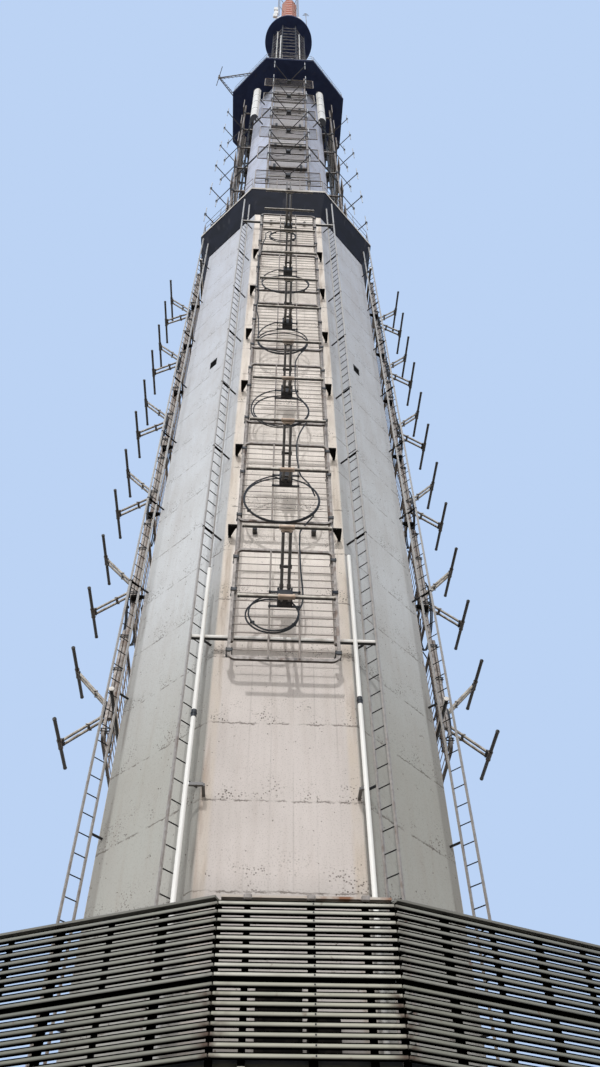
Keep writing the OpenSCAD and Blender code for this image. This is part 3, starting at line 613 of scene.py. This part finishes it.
# the booms are painted dark brown, rust with painted shade, much less on the side faces
boom = add(t, "MapRange", [out, 0.3576, 0.3573])
boom_share = add(t, "MapRange", [flank, 0, 1, 0.9, 0.2])
boom = add(t, "Math", [boom, boom_share], operation="MULTIPLY")
# painted shade: on the side faces the dipoles are painted almost black
flank_dipole_shade = add(t, "Math", [at_rod, flank], operation="MULTIPLY")
flank_dipole_shade = add(t, "Math", [flank_dipole_shade, 0.85], operation="MULTIPLY")
# painted shade: undersides are near black, a little less at the tan sleeve
underside_shade_share = add(t, "MapRange", [sleeve, 0, 1, 0.95, 0.60])
underside_shade = add(t, "Math", [tilt(t, -0.45, -0.75), underside_shade_share], operation="MULTIPLY")
at_box = add(t, "MapRange", [out, 0.3030, 0.3026])
at_heel = add(t, "Math", [out, 0.3590, 0.0013], operation="COMPARE")
at_box = add(t, "Math", [at_box, at_heel], operation="MAXIMUM")
sleeve_tone = cover(t, "e0c8b2", (wear, "c0a690"))
paint(t, shader, "dcd5c9", (wear, "a3978a"), (boom, "2f2620"), (sleeve, sleeve_tone),
      (flank_dipole_shade, "161414"), (underside_shade, "1b1715"), (at_box, "1d1c1e"))
print("finishes:", len(bpy.data.materials))

# %% Each solid gets the finish of the stem that its name begins with, or else zinc
finish_of = {
    "base_slab": slab, "podium_roof": slab, "lower_shaft": concrete, "upper_shaft": concrete,
    "flared_collar": navy, "upper_platform": navy, "round_collar": navy,
    "coax": rubber, "whip_pipes": whip_white, "upper_dipoles": pale, "radome_stacks": radome,
    "ladders": ladder_zinc, "cross_pipes": bleached,
    "collar_antennas": white, "top_pole": white, "banded_column": orange, "face_braces": black,
    "lattice_stage": lattice, "podium_wall": render, "screen": slats, "reflectors": reflector_zinc,
    "dipoles": cream, "feeder_pipes": lead,
}
for name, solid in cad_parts.items():
    chosen = next((f for stem, f in finish_of.items() if name.startswith(stem)), zinc)
    for place_in_mesh in solid.material_slots:
        place_in_mesh.material = chosen
print("finished", len(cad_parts), "solids")

# %% [markdown]
# ## Fittings
#
# The solids hold every form that carries load. What follows is what a rigger would bolt on. It is
# measured in millimetres, modelled once for each kind, and copied to wherever it repeats. Each
# piece starts as a primitive, is shaped in edit mode, and ends with its origin at the foot of
# the mast, as the solids have it.

# %% Blocks and rods with eased edges
def block(low, high, ease=0.4):
    """Add a block between two corners (mm) and chamfer its edges."""
    low, high = Vector(low) / 1000, Vector(high) / 1000
    bpy.ops.mesh.primitive_cube_add(size=1, location=(low + high) / 2, scale=high - low)
    bpy.ops.object.transform_apply(location=True, rotation=True, scale=True)
    bpy.ops.object.mode_set(mode="EDIT")
    bpy.ops.mesh.select_all(action="SELECT")
    bpy.ops.mesh.bevel(offset=ease / 1000, segments=1)
    bpy.ops.object.mode_set(mode="OBJECT")
    return bpy.context.object


def rod(begin, end, width, sides=12, ease=0.4):
    """Add a round rod between two points (mm) and chamfer its two rims."""
    begin, end = Vector(begin) / 1000, Vector(end) / 1000
    bpy.ops.mesh.primitive_cylinder_add(
        vertices=sides, radius=width / 2000, depth=(end - begin).length,
        location=(begin + end) / 2, rotation=(end - begin).to_track_quat("Z", "Y").to_euler())
    made = bpy.context.object
    bpy.ops.object.mode_set(mode="EDIT")
    bpy.ops.mesh.select_mode(type="EDGE")
    bpy.ops.mesh.select_all(action="DESELECT")
    for edge in bmesh.from_edit_mesh(made.data).edges:
        if abs(edge.verts[0].co.z - edge.verts[1].co.z) < 1e-7:
            edge.select_set(True)
    bpy.ops.mesh.bevel(offset=ease / 1000, segments=1)
    bpy.ops.object.mode_set(mode="OBJECT")
    bpy.ops.object.transform_apply(location=True, rotation=True, scale=True)
    return made


def inset(piece, chosen, *steps):
    """Inset the faces that chosen picks by their normal, once for each thickness and depth (m)."""
    bpy.ops.object.mode_set(mode="EDIT")
    bpy.ops.mesh.select_mode(type="FACE")
    bpy.ops.mesh.select_all(action="DESELECT")
    for plane in bmesh.from_edit_mesh(piece.data).faces:
        plane.select_set(chosen(plane.normal))
    for thickness, depth in steps:
        bpy.ops.mesh.inset(thickness=thickness, depth=depth, use_individual=True)
    bpy.ops.object.mode_set(mode="OBJECT")


print("blocks, rods and insets are ready")

# %% Joining, copying and finishing
def join(parts):
    """Join parts into one mesh whose origin is the foot of the mast."""
    bpy.ops.object.select_all(action="DESELECT")
    for part in parts:
        part.select_set(True)
    bpy.context.view_layer.objects.active = parts[0]
    bpy.ops.object.join()
    bpy.ops.object.transform_apply(location=True, rotation=True, scale=True)
    return bpy.context.object


def copies(model, places, keep=False):
    """Copy a model to every place, each copy with its own mesh, and join the copies."""
    made = []
    for place in places:
        twin = model.copy()
        twin.data = model.data.copy()
        twin.matrix_world = place
        bpy.context.collection.objects.link(twin)
        made.append(twin)
    if not keep:
        bpy.data.objects.remove(model)
    return join(made)


def hang(piece, name, finish):
    """Name a piece, give it its finish, smooth its round sides, and fix it to the mast."""
    piece.name = piece.data.name = name
    piece.data.materials.clear()
    piece.data.materials.append(finish)
    bpy.ops.object.select_all(action="DESELECT")
    piece.select_set(True)
    bpy.context.view_layer.objects.active = piece
    bpy.ops.object.shade_smooth_by_angle(angle=radians(35))
    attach(piece, "root")
    print(name, len(piece.data.polygons), "faces")


def at(x=0, y=0, z=0):
    """Place moved by x, y and z (mm)."""
    return Matrix.Translation(Vector((x, y, z)) / 1000)


print("pieces can be joined, copied and hung")

# %% The faces of the mast, and one piece on each main face
faces = {side: Matrix.Rotation(radians(90 * i), 4, "Z")
         for i, side in enumerate(("front", "right", "back", "left"))}
eighths = [Matrix.Rotation(EIGHTH * i, 4, "Z") for i in range(8)]
bay_heights = [FIRST_BAY + BAY * k for k in range(6)]


def on_faces(model, places, name, finish, sides=tuple(faces)):
    """Hang a piece on each main face, made of copies of a model, and clear the model away."""
    pieces = {}
    for side in sides:
        pieces[side] = copies(model, [faces[side] @ place for place in places], keep=True)
        hang(pieces[side], name + "_" + side, finish)
    bpy.data.objects.remove(model)
    return pieces


print("bays at", bay_heights)

# %% [markdown]
# ### Antenna bays
#
# One bay is a feed box held by two straps, two pairs of booms that slant away up and down, and a
# level dipole at the end of each pair. The solids stand for it with plain bars, so the bay is
# modelled again here with its lid, cable glands, saddles, sleeves and end caps. Riggers hang such
# boxes by eye: on the mast each sits a little lower or higher, and the bays here do the same.
# An array modifier would space the bays evenly, so one bay is copied by a list of heights instead.

# %% One bay: booms, saddles and dipoles
bay = []
for s in (-1, 1):
    root, tip = Vector((0, -293.5, 6 * s - 8)), Vector((0, -364.5, 77 * s))
    along = tip - root
    stop = root + along * (1 - 3.4 / along.length)
    for x in (-5.75, 5.75):
        off = Vector((x, 0, 0))
        bay.append(rod(root + off, stop + off, 5))
        bay.append(rod(root + along * 0.10 + off, root + along * 0.17 + off, 6.6))
    clamp = root + along * 0.42
    bay.append(block(clamp - Vector((9.5, 2.4, 1.6)), clamp + Vector((9.5, 2.4, 1.6)), 0.7))
    for x in (-8.5, 8.5):
        bay.append(rod(clamp + Vector((x, -4.2, 0)), clamp + Vector((x, 4.2, 0)), 2.4, 6, 0.2))
    for low, high, *size in ((-70, 70, 6, 16, 0.5), (-70, -66, 6.8, 16, 0.6), (66, 70, 6.8, 16, 0.6),
                             (-11, 11, 7.6, 18, 0.9), (-11.8, -9.6, 8.6, 18, 0.4),
                             (9.6, 11.8, 8.6, 18, 0.4)):
        bay.append(rod(tip + Vector((low, 0, 0)), tip + Vector((high, 0, 0)), *size))
    heel = tip + Vector((0, 4.2, -4.2 * s))
    bay.append(block(heel - Vector((9.2, 2.2, 2.2)), heel + Vector((9.2, 2.2, 2.2)), 0.8))
boom_model = join(bay)
print("booms and dipoles:", len(boom_model.data.polygons), "faces")

# %% One bay: straps, box, lid and glands
bay = []
for level in (-18, 13):
    bay.append(block((-25, -285.8, level - 2), (25, -283.5, level + 2), 0.5))
    for x in (-23, 23):
        bay.append(rod((x, -287.2, level), (x, -285.2, level), 3.4, 6, 0.3))
bay.append(block((-9, -286.6, -20), (9, -284.2, 15), 0.5))

bay.append(block((-11.8, -301.2, -19), (11.8, -285.6, 3), 0.9))
inset(bay[-1], lambda normal: normal.y < -0.99 or normal.z < -0.99, (0.0014, 0.0004))
for x in (-10.4, 10.4):
    for z in (-16, 4.6):
        bay.append(rod((x, -302.0, z), (x, -298.5, z), 3.6, 6, 0.3))
for x in (-6, 5):
    bay.append(rod((x, -293, -23), (x, -293, -18.6), 5.2, 8, 0.5))
box_model = join(bay)
print("box and straps:", len(box_model.data.polygons), "faces")

# %% Six bays up each face
boom_rise = [2, -3.5, -8.5, -1, 2.5, 1.5]
box_rise = [3, -2, -12, -9, -16, -7]
for side, turn_to in faces.items():
    rows = [copies(model, [turn_to @ at(z=z + up) for z, up in zip(bay_heights, rise)], keep=True)
            for model, rise in ((boom_model, boom_rise), (box_model, box_rise))]
    rows = join(rows)
    hang(rows, "antenna_bays_" + side, cream)
    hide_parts("dipoles_" + side)
for model in (boom_model, box_model):
    bpy.data.objects.remove(model)

# %% [markdown]
# ### Coaxial cable
#
# Spare cable hangs below each box in two or three lazy turns that don't lie quite on each other.
# From the right side of a coil the cable climbs to the next bay and swings into the coil there.
# A cable is a Bezier curve with a round section, made a mesh. The turns of a coil are worked out,
# each as an ellipse that drifts into the next one. The climbs between them are drawn through
# listed points.

# %% A cable along points
def cable(points, width=2.8):
    """Lay a round cable smoothly through points (mm) and make it a mesh."""
    line = bpy.data.curves.new("cable", "CURVE")
    line.dimensions = "3D"
    line.resolution_u = 3
    line.bevel_depth, line.bevel_resolution, line.use_fill_caps = width / 2000, 1, True
    run = line.splines.new("BEZIER")
    run.bezier_points.add(len(points) - 1)
    for spot, point in zip(run.bezier_points, points):
        spot.co = Vector(point) / 1000
        spot.handle_left_type = spot.handle_right_type = "AUTO"
    made = bpy.data.objects.new("cable", line)
    bpy.context.collection.objects.link(made)
    bpy.ops.object.select_all(action="DESELECT")
    made.select_set(True)
    bpy.context.view_layer.objects.active = made
    bpy.ops.object.convert(target="MESH")
    return bpy.context.object


def coil(turns, begin, end):
    """Points of a coil. Each turn is (x, z, half width, half height); angles are in degrees."""
    ring = []
    for angle in range(begin, end + 1, 15):
        share = (angle - begin) / 360
        k = min(int(share), len(turns) - 2)
        x, z, wide, high = Vector(turns[k]).lerp(Vector(turns[k + 1]), min(share - k, 1))
        ring.append((x + wide * cos(radians(angle)), -288.2 - 2.9 * share,
                     z + high * sin(radians(angle))))
    return ring


print("cables and coils are ready")

# %% Coils of the six bays, from the lowest up
coils = [
    ([(-19, -40, 41, 36), (-17, -37, 38, 37), (-16, -36, 37, 37)], 105, 740),
    ([(-6, -64, 68, 68), (-7, -70, 66, 63), (-7, -71, 65, 61)], 105, 765),
    ([(-13, -77, 60, 72), (-11, -90, 56, 58), (-11, -90, 55, 57)], 105, 755),
    ([(-12, -80, 56, 79), (-10, -103, 58, 59), (-10, -114, 56, 46), (-9, -116, 52, 41)], 105, 1095),
    ([(-6, -76, 61, 76), (-6, -100, 61, 51), (-6, -104, 58, 48)], 105, 780),
    ([(-16, -86, 38, 38), (-15, -84, 37, 36), (-15, -84, 37, 36)], 120, 790),
]
cables = []
for height, (turns, begin, end) in zip(bay_heights, coils):
    path = [(x, y, z + height) for x, y, z in coil(turns, begin, end)]
    if height != bay_heights[5]:
        path.insert(0, (-10, -287, height - 4))
    cables.append(cable(path))
print("coils:", len(coils))

# %% Cables that climb from one bay to the next, and two that hang on the left
climbs = [
    [(22, -290, 1055), (27, -290, 1070), (28, -291, 1093), (26, -292, 1124), (24, -292, 1187),
     (24, -292, 1221), (25, -292, 1237), (35, -291, 1259), (48, -290, 1282)],
    [(52, -290, 1340), (42, -290, 1374), (27, -291, 1399), (23, -292, 1427), (20, -292, 1457),
     (21, -292, 1505), (28, -291, 1543), (41, -290, 1580)],
    [(42, -290, 1643), (31, -290, 1663), (22, -291, 1680), (18, -292, 1709), (18, -292, 1746),
     (18, -292, 1792), (20, -292, 1824), (29, -291, 1858), (41, -290, 1884), (46, -290, 1911)],
    [(-66, -290, 1920), (-67, -288, 1937), (-68, -286, 1995), (-70, -285, 2042), (-76, -285, 2090),
     (-73, -285, 2161), (-78, -285, 2241), (-79, -285, 2326), (-80, -285, 2405), (-78, -285, 2440)],
    [(-50, -290, 2563), (-56, -287, 2596), (-64, -286, 2550), (-71, -286, 2511), (-74, -285, 2440)],
]
for path in climbs:
    cables.append(cable(path))
for height, (turns, begin, end) in zip(bay_heights, coils):
    x, z, wide, high = turns[-1]
    for angle in (210, 325):
        tie_x = x + wide * cos(radians(angle))
        tie_z = z + high * sin(radians(angle)) + height
        cables.append(block((tie_x - 3.4, -292.2, tie_z - 1.5), (tie_x + 3.4, -286.6, tie_z + 1.5), 0.9))
hung = on_faces(join(cables), [at()], "coaxial_cables", rubber)
for side, piece in hung.items():
    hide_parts("coax_" + side)

# %% [markdown]
# ### Grips on the reflector frames
#
# Each frame is held to its two upright pipes by grips: a plate in front, one behind, and two
# bolts through both. In the photograph they are the dark knots along the frames' sides. One grip
# is modelled and copied to three places on each side of each frame. A dark spot painted on the
# pipe would do from the ground, but a real plate throws a shadow and stands out edge-on.

# %% One grip, and all of them
grip = [block((74.6, -283.6, -3.4), (84.6, -281.6, 3.4), 0.7),
        block((74, -270.2, -3), (84, -268.6, 3), 0.6)]
for x in (75.6, 83.4):
    for z in (-2.2, 2.2):
        grip.append(rod((x, -285, z), (x, -268, z), 1.6, 6, 0.2))
places = [at(x=x, z=z + rise) for z in bay_heights for rise in (-104, 22, 98) for x in (0, -159.2)]
on_faces(join(grip), places, "frame_grips", black)

# %% [markdown]
# ### Brackets on the shaft
#
# Two short dark stubs of cut-off brackets stand out of each main face between the two lowest
# bays, and two above the top one: small cast shoes with a bolt. The reflectors' wall brackets
# have a gusset, a plate cut at a slant on its inner side. A short flat arm crosses each cable
# ladder at the brackets' heights, and the slots in the diagonal faces are closed by a plate just
# behind the concrete. All but the stubs are dark steel in a dead matt near black, which is painted
# shade as well. A slanted plate could be a boolean cut, but moving one side of a block is simpler
# and keeps the mesh clean.

# %% Stubs of old brackets
stub = [block((-4, -262, -6), (4, -249.6, 6), 1.2), rod((0, -264, 0), (0, -261.4, 0), 4, 6, 0.4)]
places = [at(x=x, z=z) for z in (1281, 2757) for x in (-52, 51)]
on_faces(join(stub), places, "wall_stubs", black)

# %% Gussets in the wall brackets, arms across the cable ladders, shutters in the slots
gussets = []
for s in (-1, 1):
    gusset = block((min(82 * s, 98 * s), -276.6, -0.3), (max(82 * s, 98 * s), -254, 5.3), 0.4)
    for corner in gusset.data.vertices:
        if corner.co.y > -0.265 and abs(corner.co.x) < 0.090:
            corner.co.x += s * 0.0105
    gussets.append(gusset)
arms = [block((x - 1.7, -294, -2.4), (x + 1.7, -268, 1.0), 0.5) for x in (-95, 95)]
gusset_model, arm_model = join(gussets), join(arms)
shutter = block((-12.3, -248.6, 1984.6), (12.3, -246, 2019.4), 0.3)

bracket_heights = [1264 + 244 * k for k in range(7)]
on_faces(gusset_model, [at(z=z) for z in bracket_heights[:6]], "bracket_gussets", shade_black)
arms = copies(arm_model, [turn_to @ at(z=z) for turn_to in eighths[1::2] for z in bracket_heights])
hang(arms, "ladder_arms", shade_black)
hang(copies(shutter, eighths[1::2]), "slot_shutters", shade_black)

# %% [markdown]
# ### Screen fittings
#
# The narrow panels' cap rail is clipped down, and each of these panels has a splice in its middle,
# where one screw per slat shows as a dark dot. Every slat ends in a small plate, which closes the
# gap at the corners. Inside stand the wide panels' middle posts, a beam behind the joint of the
# two tiers and a rail at the foot: posts and beam are in a dead matt near black, which is painted
# shade behind the screen as well as dark steel, and the rail is black steel. Behind the front of
# the screen the shaft has a dark service door and a cabinet in the same near black, which the
# photograph shows only through the gaps between slats. Small parts that repeat by hundreds are
# plain blocks with a tiny chamfer, so that they catch the light but stay cheap.

# %% Cap clips, posts and beams
narrow = eighths
# the wide panels stand 32.6 mm nearer to the axis than the narrow ones
wide = [Matrix.Rotation(EIGHTH * (i + 0.5), 4, "Z") @ at(y=32.6) for i in range(8)]
clip = block((-2.6, -701.3, 404.6), (2.6, -695.5, 408.3), 0.8)
clips = copies(clip, [n @ at(x=x) for n in narrow for x in (-36, 2.8, 36)])
hang(clips, "cap_clips", zinc)

post = block((-1.5, -696.6, 317), (1.5, -693.2, 405), 0.5)
posts = copies(post, [w @ at(x=x) for w in wide for x in (-144, -72, 0, 72, 144)])
hang(posts, "middle_posts", shade_black)

for name, finish, low, high in (("tier_beams", shade_black, 359.8, 365.4), ("foot_rails", black, 312.5, 321.5)):
    beams = [copies(block((-half, -692.7, low), (half, -690.4, high), 0.5), places)
             for places, half in ((narrow, 51.5), (wide, 215.5))]
    hang(join(beams), name, finish)

# %% Splice screws and slat ends
levels = [SLAT_FOOT + 1.4 + SLAT_STEP * i for i in range(17)]
screw = rod((4, -700.5, 0), (4, -699.8, 0), 1.0, 6, 0.15)
screws = copies(screw, [n @ at(z=z) for n in narrow for z in levels])
hang(screws, "splice_screws", black)

ends = []
for s in (1, -1):
    slat_end = block((min(50.4 * s, 53.5 * s), -700, -1.4), (max(50.4 * s, 53.5 * s), -698.3, 1.4), 0.25)
    places = [n @ at(z=z) for n in narrow for z in levels]
    places += [w @ at(x=164.0 * s, z=z) for w in wide for z in levels]
    ends.append(copies(slat_end, places))
hang(join(ends), "slat_ends", slats)

# %% Service door and cabinet
door = [block((-26, -252.4, 317), (24, -250.1, 531), 0.6),
        block((-22.5, -254.0, 319), (20.5, -252.2, 527), 1.0)]
inset(door[-1], lambda normal: normal.y < -0.99, (0.005, 0), (0.0012, -0.0009))
for z in (350, 425, 500):
    door.append(rod((-23.5, -254.4, z - 6), (-23.5, -254.4, z + 6), 2.6, 8, 0.4))
door.append(block((15, -257.5, 418), (17.6, -253.8, 432), 0.6))
door.append(block((28, -266, 317), (63, -250.1, 495), 1.6))
door.append(block((30, -267.4, 320), (61, -265.8, 492), 0.8))
for z in (350, 462):
    door.append(rod((31.5, -267.8, z - 4), (31.5, -267.8, z + 4), 2.2, 8, 0.3))
hang(join(door), "service_door", shade_black)

# %% [markdown]
# ### Couplings and pipe ends
#
# The tall white pipes are screwed together from lengths, with a coupling and clamp at each
# joint, and the long pipes across the faces end in raised rims. They are short wide rods round
# the pipes, since a pipe with a changing radius would replace a solid that is right as it is.

# %% Couplings on the white pipes, rims on the cross pipes
fittings = []
for x, z in ((-121, 868), (106.5, 898)):
    fittings.append(rod((x, -274.7, z - 6), (x, -274.7, z + 6), 8, 14, 0.7))
    fittings.append(rod((x, -274.7, z - 1), (x, -274.7, z + 1), 9.2, 14, 0.4))
for x, z in ((-121, 1157), (106.5, 1200)):
    fittings.append(rod((x, -274.7, z - 1), (x, -274.7, z + 3), 5, 12, 0.5))
hang(join(fittings), "pipe_couplings", black)

rim = [rod((x, -267.3, z), (x + 1.6, -267.3, z), 8.8, 14, 0.3)
       for z in (1013.9, 2723.9) for x in (-141.5, 139.9)]
hang(copies(join(rim), list(faces.values())), "cross_pipe_rims", bleached)

# %% [markdown]
# ### Upper stage
#
# Beams carry the upper frames off the wall, each on two dark shoes, and each hub has a bolted
# plate. Thin jumper cables droop from hub to upright, and bleached rungs cross the frames at
# uneven heights, as in the photograph. Thick feeder cables run up the side faces in bundles of
# three, strapped every half bay. A cable that droops could be simulated, but half a sine wave is
# near enough for one that is this short.

# %% Shoes, hub plates and jumpers
upper_heights = [FIRST_UPPER + UPPER_BAY * k for k in range(6)]
shoe = []
for x in (-52, 52):
    shoe.append(block((x - 5, -184, -46), (x + 5, -166.2, -4), 1.0))
    shoe.append(rod((x, -185.5, -40), (x, -183.5, -40), 4, 6, 0.4))
for x in (-76, 76):
    shoe.append(block((x - 6.5, -220.6, -30), (x + 6.5, -209, -10), 1.2))
shoe.append(block((-10.5, -234.6, -7), (10.5, -232.6, 7), 0.8))
for x in (-7.5, 7.5):
    shoe.append(rod((x, -236, 0), (x, -234, 0), 3, 6, 0.3))
shoe.append(block((-12, -226, -16), (12, -221.5, -9), 1.0))
on_faces(join(shoe), [at(z=z) for z in upper_heights], "beam_shoes", black)

jumper = []
for k, z in enumerate(upper_heights):
    end = -70 if k % 2 else 70
    droop = 26 + 9 * sin(2.3 * k)
    jumper.append(cable([(end * share, -224.5 - 1.5 * sin(pi * share),
                          z - 10 - droop * sin(pi * share) - 14 * share)
                         for share in [i / 14 for i in range(15)]], 2.2))
jumper.append(cable([(88 + 19 * cos(a), -224.4 - 0.25 * a, 3092 + 21 * sin(a))
                     for a in [2 * pi * i / 20 for i in range(41)]], 2.2))
on_faces(join(jumper), [at()], "jumper_cables", rubber)

rungs = [rod((-76, -214.9, z), (76, -214.9, z), 5, 10, 0.4)
         for z in (3335, 3520, 3615, 3752, 3812, 3945, 4185, 4240, 4310, 4395, 4450, 4510, 4590)]
hang(copies(join(rungs), list(faces.values())), "upper_rungs", bleached)

# %% Feeder bundles on the side faces
bundle = []
for x, y, phase in ((62, -181.2, 0), (67.2, -181.2, 2), (64.6, -185.8, 4)):
    bundle.append(cable([(x + 0.8 * sin(z / 90 + phase), y + 0.5 * cos(z / 70 + phase), z)
                         for z in range(2977, 4936, 22)], 4.8))
for z in range(3130, 4900, 144):
    bundle.append(block((58.6, -189, z - 2), (70.4, -178.2, z + 2), 1.0))
on_faces(join(bundle), [at(), at(x=-129.2)], "feeder_bundles", rubber, ("right", "left"))

# %% [markdown]
# ### The top of the mast
#
# The column above the round collar is a painted cylinder of eight flat sides with a pale steel
# band round every joint, and its head tapers to a dark cap. Two slender ladder masts, each tied
# back to the column by rods, and a few antennas stand beside it on the collar. The platform below
# has a slender railing of thin tube, and an outrigger whose two arms have a second bar and ties
# between the bars. Three conduits run up in front of the lattice, clipped to its rings. The
# solids have the column and the railings plainer, so those pieces replace them.

# %% Banded column, tapered head and pole
flats = cos(EIGHTH / 2)  # from a corner of the eight-sided column to the middle of a side
shell = [rod((0, 0, 7016), (0, 0, 8475), 2 * 57 / flats, 8, 1.0)]
band_model = rod((0, 0, -11), (0, 0, 11), 2 * 60 / flats, 8, 1.2)
shell.append(copies(band_model, [at(z=7060 + 88 * k) for k in range(17)]))
bpy.ops.mesh.primitive_cone_add(vertices=8, radius1=0.0610, radius2=0.0240, depth=0.235,
                                location=(0, 0, 8.5875))
shell.append(bpy.context.object)
shell.append(rod((0, 0, 8702), (0, 0, 8716), 56, 8, 1.5))
column = copies(join(shell), [Matrix.Rotation(EIGHTH / 2, 4, "Z")])
hang(column, "banded_column_shell", orange)
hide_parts("banded_column")

pole = [rod((0, 0, 8710), (0, 0, 8885), 34, 32, 1.5), rod((0, 0, 8716), (0, 0, 8724), 46, 24, 1.0)]
bpy.ops.mesh.primitive_cone_add(vertices=16, radius1=0.004, radius2=0.0015, depth=0.2,
                                location=(0, 0, 8.985))
pole.append(bpy.context.object)
pole = join(pole)
hang(pole, "pole_and_rod", white)
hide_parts("top_pole")

# %% Ladder masts and antennas on the round collar
masts = []
for x, top in ((-83, 8640), (66, 8560)):
    for off in (-7, 7):
        masts.append(rod((x + off, -76, 7014), (x + off, -76, top), 3.4, 8, 0.4))
    rung = rod((x - 7, -76, 0), (x + 7, -76, 0), 2.2, 6, 0.2)
    masts.append(copies(rung, [at(z=z) for z in range(7060, top, 36)]))
    inward = -1 if x > 0 else 1
    for z in (7500, 8000, 8400):
        masts.append(rod((x + 7 * inward, -76, z), (-42 * inward, -38, z), 4, 8, 0.4))
masts.append(rod((124, -104, 7014), (124, -104, 7560), 5, 10, 0.5))
for z, reach in ((7470, 24), (7520, 18), (7550, 12)):
    masts.append(rod((124 - reach, -104, z), (124 + reach, -104, z), 3, 8, 0.3))
hang(join(masts), "collar_masts", zinc)

panels = []
for x, y, z in ((-104, -109, 7290), (-98, -107, 7430), (-101, -109, 7570)):
    panels.append(block((x - 16, y - 8, z), (x + 16, y + 8, z + 112), 3))
panels.append(rod((-100, -100, 7014), (-100, -100, 7690), 6, 10, 0.5))
hang(join(panels), "collar_panels", white)

# %% Railings of both decks, slender on the diagonal sides
face, half = 282.8, 113.9  # from the axis to a railing, and half its length


def rail_panel(z, width):
    """One side of a deck's railing: two rails and four posts with foot plates."""
    made = [rod((-half, -face, z + up), (half, -face, z + up), width, 8, 0.2) for up in (60.5, 110)]
    for x in (-half, -half / 3, half / 3, half):
        made.append(rod((x, -face, z), (x, -face, z + 111), width + 0.4, 8, 0.2))
        made.append(block((x - 4, -face - 3.5, z - 1), (x + 4, -face + 3.5, z + 1.5), 0.5))
    return join(made)


for name, z, main_width in (("upper_railing", 4965, 1.5), ("lower_railing", 2976, 2.6)):
    railing = join([copies(rail_panel(z, main_width), eighths[0::2]),
                    copies(rail_panel(z, 1.5), eighths[1::2])])
    hang(railing, name + "_rails", zinc)
    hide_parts(name)

# %% Conduits up the lattice
conduits = []
for x, y, width, top in ((-53, -117, 6, 6560), (67, -115, 5, 6640), (-76, -112, 3.4, 6700)):
    conduits.append(rod((x, y, 4964), (x, y, top), width, 12, 0.5))
    for z in range(5168, top, 305):
        conduits.append(block((x - 5, y - 4.5, z - 3), (x + 5, abs(x) - 148.8, z + 3), 0.8))
hang(join(conduits), "lattice_conduits", white)

# %% Second bars and ties of the outrigger
hub = Vector((-360, -180, 4968.5))
ties = []
for foot, shift in ((Vector((-250, -60, 4968.5)), 11), (Vector((-136, -222, 4968.5)), -11)):
    along = hub - foot
    beside = Vector((-along.y, along.x, 0)).normalized() * shift
    ties.append(rod(foot + beside, hub + beside * 0.4, 3.4, 8, 0.3))
    for i in range(1, 11):
        spot = foot + along * (i / 11)
        ties.append(rod(spot, foot + along * ((i - 0.5) / 11) + beside, 2.4, 6, 0.2))
hang(join(ties), "outrigger_ties", zinc)

# %% Measure and finish
low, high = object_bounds()
print("visual box", [round(v, 3) for v in (*low, *high)])
